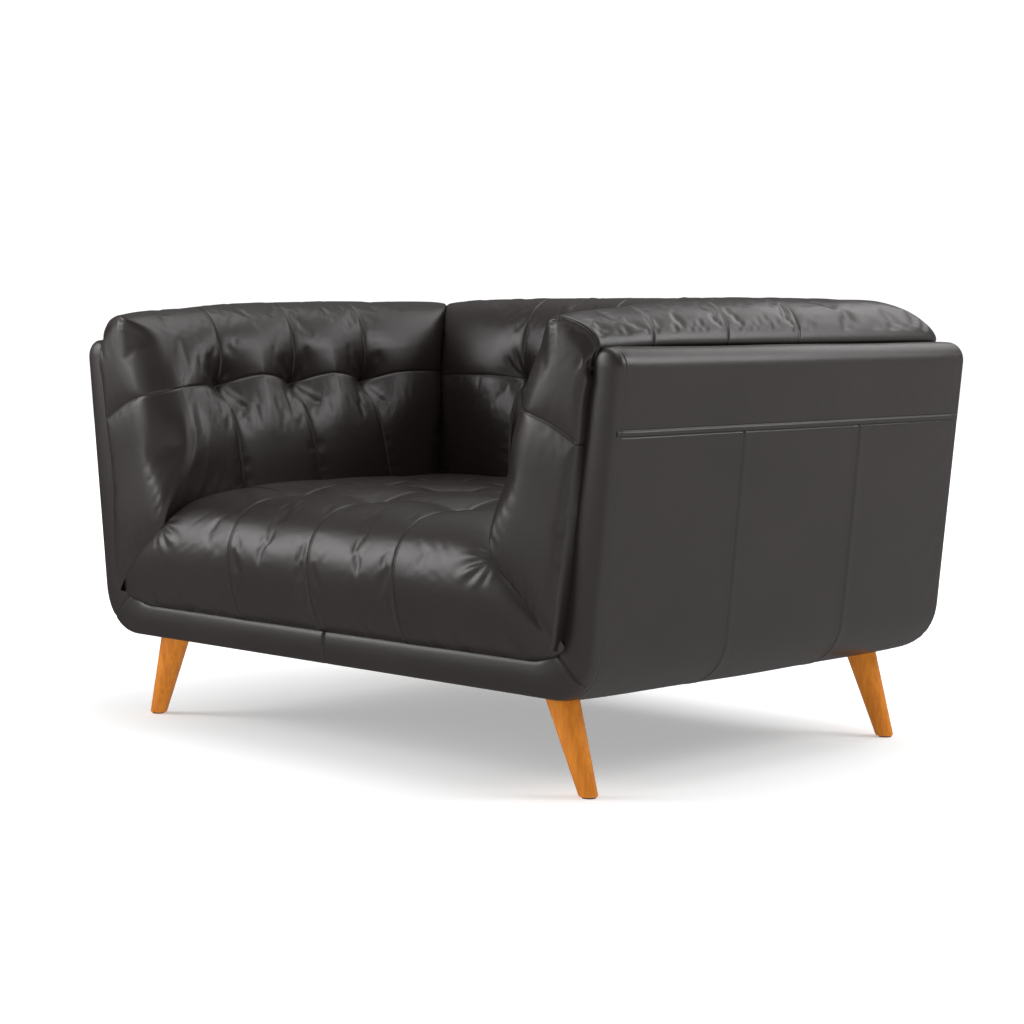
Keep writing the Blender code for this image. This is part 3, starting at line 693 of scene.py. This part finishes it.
def back_creases(grid, row_lines, column_lines):
    for number, column in enumerate(column_lines):
        yield grid[row_lines[0], column], (1, 0, 0), (0, 0.2, 0.98), TUFT_CREASES[2 - number]


SEAT_TUFT_CREASES = ((20, 0.04, 0.0009), (200, 0.045, 0.0009), (-70, 0.04, 0.0008))
SEAT_CORNER_CREASES = ((172, 0.06, 0.002), (198, 0.09, 0.0028), (222, 0.08, 0.0024),
                       (250, 0.06, 0.0014))
SEAT_CORNER = (0.408, -0.408, 0.346)


def seat_creases(grid, row_lines, column_lines):
    for row in row_lines:
        for column in column_lines:
            yield grid[row, column], (1, 0, 0), (0, 1, 0), SEAT_TUFT_CREASES
    for side in SIDES.values():
        corner = np.array(SEAT_CORNER) * (side, 1, 1)
        yield corner, (side, 0, 0), (0, 0.5, 0.866), SEAT_CORNER_CREASES


def make_back():
    make_panelled("back_cushion", back_grid(), BACK_SEAM_COLUMNS, (TUFT_ROW,),
                  {"flip": True, "deep": TUFT_DEPTH, "seam": SEAM_DEPTH, "pillow": 0.006, "lines": 3,
                   "growth": CLOTH_GROWTH, "held": 8, "groove": SEAM_GROOVE[0], "creases": back_creases,
                   "nodes": ("back_cover", "back_foam"), "fill": 0.85})


def make_seat():
    make_panelled("seat_cushion", seat_grid(), SEAT_SEAM_COLUMNS, SEAT_TUFT_ROWS,
                  {"flip": False, "deep": 0.011, "seam": 0.003, "pillow": 0.004, "lines": 2,
                   "growth": 0.003, "held": 3, "groove": 0.0012, "creases": seat_creases,
                   "nodes": ("seat_cover", "seat_foam"), "fill": 0.9})


# ---------------------------------------------------------------- shell


def arc(centre, radius, start, end, count):
    angles = np.linspace(start, end, count + 1)
    return np.stack([centre[0] + radius * np.cos(angles), centre[1] + radius * np.sin(angles)], 1)


def evenly(points, count):
    """The open path resampled to count equal steps along its length."""
    points = np.asarray(points, float)
    steps = np.linalg.norm(np.diff(points, axis=0), axis=1)
    along = np.concatenate([[0], np.cumsum(steps)])
    at = np.linspace(0, along[-1], count + 1)
    return np.stack([np.interp(at, along, points[:, axis]) for axis in range(points.shape[1])], 1)


def shell_section(underside_x):
    """The side cover's section from inside the top roll to the underside."""
    top = arc(ROLL_CENTRE, ROLL_RADIUS, math.pi - SHELL_LEAN, -SHELL_LEAN, 24)
    tucked = top[0] - np.array([0.003, 0.028])
    corner = arc(CORNER_CENTRE, CORNER_RADIUS, -SHELL_LEAN, -math.pi / 2, 24)
    foot = np.array([[underside_x, CORNER_CENTRE[1] - CORNER_RADIUS]])
    return np.concatenate([[tucked], top, corner, foot])


def path_normals(path):
    along = np.gradient(path, axis=0)
    along /= np.linalg.norm(along, axis=1, keepdims=True)
    return np.stack([-along[:, 1], along[:, 0]], axis=1)


SIDE_ROWS = 92
SIDE_COLUMNS = 86
SIDE_BAND_Z = 0.531
SIDE_SEAM_Y = (-0.1145, 0.1635)
# Extra grid lines by each seam and each end (in metres) and by the band (in rows)
SEAM_LINES = (-0.0045, -0.0016, 0, 0.0016, 0.0045)
END_LINES = (0.0012, 0.003, 0.0055, 0.007, 0.009)
BAND_LINES = (0.1, 0.28, 0.46, 0.64, 0.82)
EDGE_INSET = 0.0014
BORDER_INSET = 0.0004
EDGE_Y = 0.0045


def make_side(side_name, side):
    path = evenly(shell_section(SHELL_LOW.x), SIDE_ROWS)
    outwards = path_normals(path)
    start_y, end_y = SHELL_FRONT_Y + EDGE_Y, SHELL_BACK_Y - EDGE_Y
    outer = np.nonzero(path[:, 0] > ROLL_CENTRE[0] - 0.02)[0]
    band_row = outer[np.argmin(np.abs(path[outer, 1] - SIDE_BAND_Z))]
    y_lines = set(np.round(np.linspace(start_y, end_y, SIDE_COLUMNS + 1), 5))
    y_lines |= {round(y + offset, 5) for y in SIDE_SEAM_Y for offset in SEAM_LINES}
    y_lines |= {round(start_y + offset, 5) for offset in END_LINES}
    y_lines |= {round(end_y - offset, 5) for offset in END_LINES}
    y = np.array(sorted(y_lines))
    row_lines = set(float(n) for n in range(SIDE_ROWS + 1))
    row_lines |= {band_row + sign * offset for offset in BAND_LINES for sign in (-1, 1)}
    row_lines = np.array(sorted(row_lines))
    low = np.clip(np.floor(row_lines).astype(int), 0, SIDE_ROWS - 1)
    share = (row_lines - low)[:, None]
    path = path[low] * (1 - share) + path[low + 1] * share
    outwards = outwards[low] * (1 - share) + outwards[low + 1] * share
    grid = np.empty((len(path), len(y), 3))
    grid[:, :, 0] = path[:, 0:1]
    grid[:, :, 1] = y[None, :]
    grid[:, :, 2] = path[:, 1:2]
    band = int(np.nonzero(row_lines == band_row)[0][0])
    from_band = np.linalg.norm(path - path[band], axis=1) * np.sign(row_lines - band_row)
    below = smoothstep(0.003, 0.006, from_band)[:, None]
    to_seam = np.min(np.abs(y[None, :] - np.array(SIDE_SEAM_Y)[:, None]), axis=0)[None, :]
    to_end = np.minimum(y - start_y, end_y - y)[None, :]
    height = -EDGE_INSET * np.exp(-(to_end / 0.0022) ** 2)
    height = height - 0.0013 * np.exp(-((to_end - 0.0065) / 0.0013) ** 2)
    height = height - below * 0.0024 * np.exp(-(to_seam / 0.0013) ** 2)
    height = height + below * 0.0009 * np.exp(-((to_seam - 0.004) / 0.003) ** 2)
    ridge = 0.0018 * np.exp(-(from_band / 0.0045) ** 4) - 0.0022 * np.exp(
        -((np.abs(from_band) - 0.0048) / 0.0011) ** 2)
    height = height + ridge[:, None]
    flat = smoothstep(0.02, 0.06, from_band + 0.12)[:, None]
    middle = 1 - (2 * (y - start_y) / (end_y - start_y) - 1) ** 4
    lower_part = smoothstep(0.25, 0.45, from_band)[:, None]
    height = height + (0.0022 + 0.003 * lower_part) * middle[None, :] * flat
    height = height + wrinkles(grid, to_end, from_band[:, None])
    grid[:, :, 0] += outwards[:, 0:1] * height
    grid[:, :, 2] += outwards[:, 1:2] * height
    surface = Surface()
    surface.add("main", mirror(grid, side), side > 0)
    add_leather(f"side_panel_{side_name}", surface, f"side_cover_{side_name}")


def add_leather(name, surface, node):
    mesh = surface.mesh(name, surface.array())
    add_piece(name, mesh, LEATHER, (node,), smooth=True)


def wrinkles(grid, to_end, from_band):
    """Faint pulls in the stretched leather of a flat panel."""
    y, z = grid[:, :, 1], grid[:, :, 2]
    pull = 0.00012 * np.sin(150 * y + 9 * np.sin(11 * z)) * np.exp(-((from_band + 0.03) / 0.03) ** 2)
    swell = 0.0009 * np.sin(17 * y + 1.3) * np.sin(13 * z + 0.4)
    edge = 0.0005 * np.sin(95 * z + 5 * np.sin(23 * y)) * np.exp(-(to_end / 0.03) ** 2)
    return (pull + swell + edge) * smoothstep(0, 0.02, to_end)


BORDER_ACROSS = 14
BORDER_FLANGE = 0.02


def border_paths():
    """Matching runs of the border's outer and inner edges: down the arm, then along the base."""
    radius = ROLL_RADIUS - BORDER_INSET
    outer_top = np.array([ROLL_CENTRE[0] + radius * math.cos(SHELL_LEAN),
                          ROLL_CENTRE[1] - radius * math.sin(SHELL_LEAN)])
    inner_top = np.array([ROLL_CENTRE[0] - radius * math.cos(SHELL_LEAN),
                          ROLL_CENTRE[1] + radius * math.sin(SHELL_LEAN)])
    middle = -math.pi / 4
    outer_radius = CORNER_RADIUS - BORDER_INSET
    outer_arc = arc(CORNER_CENTRE, outer_radius, -SHELL_LEAN, middle, 16)
    inner_arc = arc(BORDER_CORNER, BORDER_CORNER_RADIUS, -BORDER_LEAN, middle, 16)
    arm = (evenly(np.concatenate([[outer_top], outer_arc]), 64),
           evenly(np.concatenate([[inner_top], inner_arc]), 64))
    outer_arc = arc(CORNER_CENTRE, outer_radius, middle, -math.pi / 2, 16)
    inner_arc = arc(BORDER_CORNER, BORDER_CORNER_RADIUS, middle, -math.pi / 2, 16)
    outer_end = np.array([[0.0, CORNER_CENTRE[1] - outer_radius]])
    inner_end = np.array([[0.0, BORDER_TOP_Z]])
    base = (evenly(np.concatenate([outer_arc, outer_end]), 72),
            evenly(np.concatenate([inner_arc, inner_end]), 72))
    return arm, base


def border_depth(distance_out, distance_in):
    """How far back the border's face lies, from its distances to the outer and the inner edge."""
    outer = 0.0065 * rounding(1 - distance_out / 0.011)
    inner = 0.011 * rounding(1 - distance_in / 0.01)
    return outer + inner


def border_point(outer, inner, s, face_y, direction):
    width = np.linalg.norm(inner - outer)
    spot = outer + (inner - outer) * s
    y = face_y + direction * float(border_depth(s * width, (1 - s) * width))
    crown = -0.0035 * math.sin(math.pi * min(s * 1.1, 1.0))
    return [spot[0], y + direction * crown, spot[1]]


def across_steps():
    """Steps from the border's outer edge (0) to its inner edge (1), closer at both edges."""
    t = np.linspace(0, 1, BORDER_ACROSS + 1)
    return t - 0.1 * np.sin(2 * math.pi * t)


def border_strip(outer, inner, face_y, direction, ends):
    """A grid along the border; a seam at either end sinks into a groove."""
    s_values = across_steps()
    rows = []
    steps = np.linalg.norm(np.diff((outer + inner) / 2, axis=0), axis=1)
    along = np.concatenate([[0], np.cumsum(steps)])
    for row in range(len(outer)):
        line = [border_point(outer[row], inner[row], s, face_y, direction) for s in s_values]
        tucked = [outer[row][0], face_y + direction * BORDER_FLANGE, outer[row][1]]
        line.insert(0, tucked)
        gap = min(along[row] if ends[0] else 1, along[-1] - along[row] if ends[1] else 1)
        sunk = 0.0022 * math.exp(-(gap / 0.0022) ** 2)
        for point in line[1:]:
            point[1] += direction * sunk
        rows.append(line)
    return np.array(rows)


def top_cap(strip_row, face_y, direction):
    """The border's round top: half rings that join the two halves of its first row."""
    points = strip_row[1:]
    count = len(points) - 1
    half = count // 2
    turns = 14
    centre = 0.5 * (points[0] + points[-1])
    axis = points[0] - points[-1]
    angle_0 = math.atan2(axis[2], axis[0])
    rings = [[]]
    for ring in range(half):
        outer_point, inner_point = points[ring], points[count - ring]
        line = []
        for turn in range(turns + 1):
            share = turn / turns
            radius = (1 - share) * math.hypot(*(outer_point - centre)[[0, 2]])
            radius += share * math.hypot(*(inner_point - centre)[[0, 2]])
            angle = angle_0 + math.pi * share
            y = outer_point[1] * (1 - share) + inner_point[1] * share
            if ring == 0:
                y = outer_point[1] + (inner_point[1] - outer_point[1]) * smoothstep(0.6, 1, share)
            line.append([centre[0] + radius * math.cos(angle), y,
                         centre[2] + radius * math.sin(angle)])
        line[0], line[-1] = list(outer_point), list(inner_point)
        rings.append(line)
    rings[0] = [[x, face_y + direction * BORDER_FLANGE, z] for x, y, z in rings[1]]
    rings.append([list(points[half])] * (turns + 1))
    return np.array(rings)


def denser(path, ends, offsets=(0.0015, 0.004)):
    """Extra places on a pair of paths, close to a seamed end."""
    outer, inner = path
    middle = (outer + inner) / 2
    along = np.concatenate([[0], np.cumsum(np.linalg.norm(np.diff(middle, axis=0), axis=1))])
    at = set(along)
    if ends[0]:
        at |= {offset for offset in offsets}
    if ends[1]:
        at |= {along[-1] - offset for offset in offsets}
    at = np.array(sorted(at))
    return [np.stack([np.interp(at, along, run[:, axis]) for axis in (0, 1)], 1)
            for run in (outer, inner)]


def make_borders():
    arm, base = border_paths()
    for end_name, face_y, direction in (("front", SHELL_FRONT_Y - 0.0005, 1.0),
                                        ("back", SHELL_BACK_Y + 0.0025, -1.0)):
        base_parts = []
        for side_name, side in SIDES.items():
            flip = side * direction > 0
            outer, inner = denser(arm, (False, True))
            strip = border_strip(outer, inner, face_y, direction, (False, True))
            cap = top_cap(strip[0], face_y, direction)
            surface = Surface()
            surface.add("strip", mirror(strip, side), not flip)
            surface.add("cap", mirror(cap, side), not flip)
            name = f"{end_name}_border_arm_{side_name}"
            add_leather(f"{name}_leather", surface, name)
            seamed = end_name == "front"
            outer, inner = denser(base, (True, seamed))
            strip = mirror(border_strip(outer, inner, face_y, direction, (True, seamed)), side)
            if seamed:
                surface = Surface()
                surface.add("strip", strip, not flip)
                name = f"{end_name}_border_base_{side_name}"
                add_leather(f"{name}_leather", surface, name)
            else:
                base_parts.append((strip, not flip))
        if base_parts:
            surface = Surface()
            for number, (strip, flip) in enumerate(base_parts):
                surface.add(f"strip_{number}", strip, flip)
            add_leather("back_border_base_leather", surface, "back_border_base")


def inner_half_width(z):
    """Half the width between the borders at this height, a little behind their inner edges."""
    foot = np.array([BORDER_CORNER[0] + BORDER_CORNER_RADIUS * math.cos(BORDER_LEAN),
                     BORDER_CORNER[1] - BORDER_CORNER_RADIUS * math.sin(BORDER_LEAN)])
    top = np.array([ROLL_CENTRE[0] - ROLL_RADIUS, ROLL_CENTRE[1]])
    if z >= foot[1]:
        return foot[0] + (top[0] - foot[0]) * (z - foot[1]) / (top[1] - foot[1])
    drop = min(BORDER_CORNER[1] - z, BORDER_CORNER_RADIUS)
    return BORDER_CORNER[0] + math.sqrt(BORDER_CORNER_RADIUS**2 - drop**2)


def make_outer_back():
    """The flat back panel with a band seam and two seams below it, like the sides."""
    low_z, high_z = BORDER_TOP_Z - 0.004, 0.6535
    z_lines = set(np.round(np.linspace(low_z, high_z, 60), 5))
    z_lines |= {round(low_z + 0.068 * (1 - math.cos(a)), 5) for a in np.linspace(0.1, 1.3, 8)}
    z_lines |= {round(SIDE_BAND_Z + o, 5) for o in (-0.006, -0.0048, -0.003, 0, 0.003, 0.0048, 0.006)}
    z = np.array(sorted(z_lines))
    half = np.array([inner_half_width(value) for value in z])
    x_lines = sorted(set(np.round(np.linspace(-1, 1, 121), 4)))
    grid = np.empty((len(z), len(x_lines), 3))
    for column, fraction in enumerate(x_lines):
        grid[:, column, 0] = fraction * (half + 0.004)
        grid[:, column, 1] = SHELL_BACK_Y - 0.0022
        grid[:, column, 2] = z
    x = grid[:, :, 0]
    seam_x = 0.21
    to_seam = np.abs(np.abs(x) - seam_x)
    from_band = (grid[:, :, 2] - SIDE_BAND_Z)
    below = smoothstep(0.003, 0.006, -from_band)
    to_side = half[:, None] - np.abs(x)
    bulge = 0.003 * (1 - np.clip(np.abs(x) / half[:, None], 0, 1) ** 6)
    bulge = bulge * smoothstep(0, 0.05, grid[:, :, 2] - low_z)
    height = bulge - below * 0.0012 * np.exp(-(to_seam / 0.004) ** 2)
    band = 0.0016 * np.exp(-(from_band / 0.0045) ** 4)
    band = band - 0.0012 * np.exp(-((np.abs(from_band) - 0.0048) / 0.0012) ** 2)
    height = height + band * smoothstep(0.002, 0.02, to_side)
    swell = 0.0006 * np.sin(14 * x + 0.7) * np.sin(12 * grid[:, :, 2])
    height = height + swell * smoothstep(0, 0.03, to_side)
    grid[:, :, 1] += height
    grid[-1:, :, 1] = SHELL_BACK_Y - 0.008
    surface = Surface()
    surface.add("main", grid, True)
    add_leather("outer_back_panel", surface, "outer_back_cover")


# ---------------------------------------------------------------- legs

LEG_SIDES = 48
LEG_FOOT_RADIUS = 0.014
LEG_TOP_RADIUS = 0.025
LEG_LEAN = 0.356


def make_leg(corner_name):
    """A turned, tapered leg in the space of its CAD leg, with eased edges."""
    low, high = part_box(f"leg_{corner_name}")
    outward = 1.0 if low.x + high.x > 0 else -1.0
    stretch = 1 / math.cos(LEG_LEAN)
    foot_x = (high.x if outward > 0 else low.x) - outward * LEG_FOOT_RADIUS * stretch
    top_x = (low.x if outward > 0 else high.x) + outward * LEG_TOP_RADIUS * stretch
    y = (low.y + high.y) / 2
    rings = []
    span = high.z - low.z
    levels = [(0.0, 0.003), (0.0, 0.0014), (0.0008, 0.0004), (0.0024, 0.0)]
    levels += [(span * n / 12, 0.0) for n in range(1, 12)]
    levels += [(span - 0.0015, 0.0), (span, 0.0008)]
    for height, easing in levels:
        share = height / span
        radius = LEG_FOOT_RADIUS + (LEG_TOP_RADIUS - LEG_FOOT_RADIUS) * share - easing
        x = foot_x + (top_x - foot_x) * share
        angles = np.linspace(0, 2 * math.pi, LEG_SIDES, endpoint=False)
        rings.append([(x + radius * stretch * math.cos(a), y + radius * math.sin(a),
                       low.z + height) for a in angles])
    points = [point for ring in rings for point in ring]
    faces = [list(range(LEG_SIDES))[::-1]]
    for ring in range(len(rings) - 1):
        for step in range(LEG_SIDES):
            after = (step + 1) % LEG_SIDES
            faces.append([ring * LEG_SIDES + step, ring * LEG_SIDES + after,
                          (ring + 1) * LEG_SIDES + after, (ring + 1) * LEG_SIDES + step])
    faces.append([(len(rings) - 1) * LEG_SIDES + step for step in range(LEG_SIDES)])
    mesh = bpy.data.meshes.new(f"oak_leg_{corner_name}")
    mesh.from_pydata(points, [], faces)
    mesh.shade_smooth()
    mesh.set_sharp_from_angle(angle=math.radians(50))
    add_piece(mesh.name, mesh, OAK, (f"leg_{corner_name}",))


# ---------------------------------------------------------------- materials


class Nodes:
    """A short way to write the nodes of a material or of the world."""

    def __init__(self, holder):
        holder.use_nodes = True
        self.holder = holder
        self.tree = holder.node_tree

    def add(self, kind, inputs=None, **settings):
        node = self.tree.nodes.new(kind)
        for key, value in settings.items():
            setattr(node, key, value)
        self.fill(node, inputs or {})
        return node

    def fill(self, node, inputs):
        for key, value in inputs.items():
            if hasattr(value, "is_output"):
                self.tree.links.new(value, node.inputs[key])
            else:
                node.inputs[key].default_value = value

    def shade(self, inputs):
        self.fill(self.tree.nodes["Principled BSDF"], inputs)

    def bump(self, height, strength, distance):
        node = self.add("ShaderNodeBump", {"Height": height, "Strength": strength,
                                           "Distance": distance})
        return node.outputs["Normal"]

    def ramp(self, factor, stops):
        node = self.add("ShaderNodeValToRGB", {"Fac": factor})
        elements = node.color_ramp.elements
        while len(elements) < len(stops):
            elements.new(0.5)
        for element, (position, colour) in zip(elements, stops):
            element.position = position
            element.color = (*colour, 1.0)
        return node.outputs["Color"]

    def noise(self, vector, scale, detail=3.0, roughness=0.5):
        node = self.add("ShaderNodeTexNoise", {"Vector": vector, "Scale": scale, "Detail": detail,
                                               "Roughness": roughness})
        return node.outputs["Fac"]

    def math(self, operation, first, second):
        node = self.add("ShaderNodeMath", {0: first, 1: second}, operation=operation)
        return node.outputs["Value"]

    def map_range(self, value, wanted, given=(0.0, 1.0)):
        names = ("From Min", "From Max", "To Min", "To Max")
        node = self.add("ShaderNodeMapRange", {"Value": value, **dict(zip(names, (*given, *wanted)))})
        return node.outputs["Result"]


def material_nodes(name):
    return Nodes(bpy.data.materials.new(name))


def object_vector(nodes, scale=(1.0, 1.0, 1.0)):
    coordinates = nodes.add("ShaderNodeTexCoord")
    mapping = nodes.add("ShaderNodeMapping", {"Vector": coordinates.outputs["Object"],
                                              "Scale": scale})
    return mapping.outputs["Vector"]


def leather_material(name, dark, light, roughness):
    nodes = material_nodes(name)
    vector = object_vector(nodes)
    cloud = nodes.noise(vector, 5.0)
    mottle = nodes.noise(vector, 60.0, 4.0, 0.6)
    cells = nodes.add("ShaderNodeTexVoronoi", {"Vector": vector, "Scale": 950.0},
                      feature="DISTANCE_TO_EDGE")
    grain = nodes.noise(vector, 420.0, 2.0)
    height = nodes.math("ADD", nodes.map_range(cells.outputs["Distance"], (0.0, 1.0)), grain)
    nodes.shade({"Base Color": nodes.ramp(cloud, [(0.3, dark), (0.7, light)]),
                 "Roughness": nodes.map_range(mottle, (roughness - 0.04, roughness + 0.05)),
                 "Specular IOR Level": 0.4,
                 "Normal": nodes.bump(height, 0.12, 0.0006)})
    return nodes.holder


def wood_material(name, light, dark, roughness):
    nodes = material_nodes(name)
    vector = object_vector(nodes, (7.0, 7.0, 0.9))
    warp = nodes.noise(vector, WOOD_SCALE * 0.35)
    rings = nodes.noise(vector, WOOD_SCALE, 5.0, 0.65)
    fibres = nodes.noise(object_vector(nodes, (1.0, 1.0, 0.04)), 900.0, 2.0)
    mixed = nodes.add("ShaderNodeMix", {"Factor": 0.35, "A": rings, "B": warp}, data_type="FLOAT")
    nodes.shade({"Base Color": nodes.ramp(mixed.outputs["Result"], [(0.36, dark), (0.6, light)]),
                 "Roughness": nodes.map_range(rings, (roughness - 0.05, roughness + 0.07)),
                 "Specular IOR Level": 0.3,
                 "Normal": nodes.bump(fibres, 0.1, 0.0004)})
    return nodes.holder


def plain_material(name, dark, light, roughness, scale, strength, metallic=0.0):
    """A fine-grained material for the hidden pieces: cloth, foam, felt, steel or plastic."""
    nodes = material_nodes(name)
    grain = nodes.noise(object_vector(nodes), scale, 4.0, 0.6)
    nodes.shade({"Base Color": nodes.ramp(grain, [(0.3, dark), (0.7, light)]),
                 "Roughness": nodes.map_range(grain, (roughness - 0.05, roughness + 0.05)),
                 "Metallic": metallic,
                 "Normal": nodes.bump(grain, strength, 0.001)})
    return nodes.holder


WOOD_SCALE = 26.0
LEATHER = leather_material("dark_leather", (0.012, 0.008, 0.007), (0.0155, 0.0108, 0.0096), 0.35)
OAK = wood_material("oiled_oak", (0.72, 0.24, 0.012), (0.55, 0.155, 0.007), 0.42)


def dress_hidden_nodes():
    """Gives every CAD node that stays in the scene its own grained material."""
    materials = {
        "frame_timber": wood_material("pine_timber", (0.62, 0.45, 0.26), (0.5, 0.33, 0.17), 0.65),
        "plywood": wood_material("birch_plywood", (0.66, 0.5, 0.31), (0.55, 0.39, 0.22), 0.62),
        "foam": plain_material("foam", (0.7, 0.64, 0.42), (0.8, 0.75, 0.55), 0.9, 900.0, 0.5),
        "felt": plain_material("felt", (0.06, 0.06, 0.065), (0.12, 0.12, 0.125), 0.95, 700.0, 0.7),
        "black_lining": plain_material("black_lining", (0.008, 0.008, 0.008), (0.02, 0.02, 0.02),
                                       0.85, 1400.0, 0.5),
        "steel": plain_material("spring_steel", (0.35, 0.35, 0.36), (0.5, 0.5, 0.52), 0.35, 300.0,
                                0.15, 1.0),
        "nylon": plain_material("nylon", (0.02, 0.02, 0.02), (0.035, 0.035, 0.035), 0.5, 500.0, 0.2),
        "dark_leather": LEATHER,
        "oak": OAK,
    }
    for part in frame["record"]["subparts"]:
        node = frame["nodes"][part["node"]]
        node.data.materials.clear()
        node.data.materials.append(materials[part["material_slot"]])


# ---------------------------------------------------------------- stage


FLOOR_SIZE = 30.0
FLOOR_GLOW = 0.36
GLOW_REACH = (1.4, 3.6)
BACKDROP_RADIUS, BACKDROP_HEIGHT, BACKDROP_SIDES = 12.0, 12.0, 48
LOW_LIGHT = 0.7
LOW_LIGHT_TURN = (0.6, -0.28, 0.0)
ZENITH_LIGHT = 0.7
WHITE = (1.0, 1.0, 1.0, 1.0)
# (name, location, target, size, power)
AREA_LIGHTS = (
    ("overhead", (0.2, 0.2, 2.8), (0, 0, 0.3), (2.6, 1.6), 34),
    ("rear", (0.5, 2.6, 2.5), (0.2, 0, 0.5), (2.2, 1.0), 18),
    ("left_front", (-2.4, -2.4, 1.7), (0, 0, 0.4), (1.6, 1.8), 60),
    ("right_rear", (2.3, 1.8, 2.0), (0.2, 0, 0.5), (1.2, 1.2), 34),
)
CAMERA_PLACE = (2.8716, -2.8261, 0.7039)
CAMERA_AZIMUTH, CAMERA_ELEVATION = math.radians(45.203), math.radians(4.797)
CAMERA_LENS = 84.04


def make_stage():
    """A pale floor, which glows a little so that the shadow stays light, and a white backdrop."""
    size = FLOOR_SIZE
    mesh = bpy.data.meshes.new("floor")
    mesh.from_pydata([(-size, -size, 0), (size, -size, 0), (size, size, 0), (-size, size, 0)],
                     [], [(0, 1, 2, 3)])
    nodes = material_nodes("pale_floor")
    position = nodes.add("ShaderNodeTexCoord")
    away = nodes.add("ShaderNodeVectorMath", {0: position.outputs["Object"]}, operation="LENGTH")
    nodes.shade({"Base Color": (0.9, 0.9, 0.9, 1.0), "Roughness": 0.9, "Specular IOR Level": 0.1,
                 "Emission Color": WHITE,
                 "Emission Strength": nodes.map_range(away.outputs["Value"], (FLOOR_GLOW, 1.0),
                                                      GLOW_REACH)})
    floor = place("floor", mesh, nodes.holder)
    floor.visible_glossy = False
    radius, height, sides = BACKDROP_RADIUS, BACKDROP_HEIGHT, BACKDROP_SIDES
    turns = [2 * math.pi * n / sides for n in range(sides)]
    ring = [(radius * math.cos(a), radius * math.sin(a)) for a in turns]
    mesh = bpy.data.meshes.new("backdrop")
    mesh.from_pydata([(x, y, -0.01) for x, y in ring] + [(x, y, height) for x, y in ring], [],
                     [(n, (n + 1) % sides, sides + (n + 1) % sides, sides + n) for n in range(sides)]
                     + [tuple(range(sides, 2 * sides))])
    nodes = material_nodes("white_backdrop")
    nodes.shade({"Base Color": (0.0, 0.0, 0.0, 1.0), "Emission Color": WHITE,
                 "Emission Strength": 1.05})
    backdrop = place("backdrop", mesh, nodes.holder)
    backdrop.visible_diffuse = False
    backdrop.visible_glossy = False
    backdrop.visible_shadow = False


def add_area_light(name, location, target, size, power):
    light = bpy.data.lights.new(name, "AREA")
    light.shape = "RECTANGLE"
    light.size, light.size_y = size
    light.energy = power
    lamp = bpy.data.objects.new(name, light)
    bpy.context.scene.collection.objects.link(lamp)
    lamp.location = location
    direction = Vector(target) - Vector(location)
    lamp.rotation_euler = direction.to_track_quat("-Z", "Y").to_euler()


def make_lights():
    """A soft studio: a low glow that is stronger to one side, a brighter sky, and soft boxes."""
    world = bpy.data.worlds.new("studio")
    bpy.context.scene.world = world
    nodes = Nodes(world)
    direction = nodes.add("ShaderNodeTexCoord").outputs["Generated"]
    up = nodes.add("ShaderNodeSeparateXYZ", {"Vector": direction}).outputs["Z"]
    turned = nodes.add("ShaderNodeVectorMath", {0: direction, 1: LOW_LIGHT_TURN},
                       operation="DOT_PRODUCT").outputs["Value"]
    low = nodes.math("ADD", turned, LOW_LIGHT)
    low = nodes.math("MULTIPLY", low, nodes.map_range(up, (1.0, 0.0), (0.0, 0.35)))
    high = nodes.map_range(up, (0.0, ZENITH_LIGHT), (0.12, 1.0))
    nodes.fill(nodes.tree.nodes["Background"], {"Color": WHITE, "Strength": nodes.math("ADD", low, high)})
    for light in AREA_LIGHTS:
        add_area_light(*light)


def make_camera():
    camera = bpy.data.cameras.new("camera")
    camera.lens = CAMERA_LENS
    camera.sensor_width = 36.0
    camera.clip_end = 100
    viewer = bpy.data.objects.new("camera", camera)
    viewer.location = CAMERA_PLACE
    viewer.rotation_euler = (math.pi / 2 - CAMERA_ELEVATION, 0, CAMERA_AZIMUTH)
    bpy.context.scene.collection.objects.link(viewer)
    bpy.context.scene.camera = viewer


def main():
    bpy.context.scene.view_settings.view_transform = "Standard"
    dress_hidden_nodes()
    make_camera()
    for side_name, side in SIDES.items():
        make_arm(side_name, side)
        make_side(side_name, side)
    make_back()
    make_seat()
    make_borders()
    make_outer_back()
    for corner_name in ("front_left", "front_right", "back_left", "back_right"):
        make_leg(corner_name)
    make_stage()
    make_lights()


main()
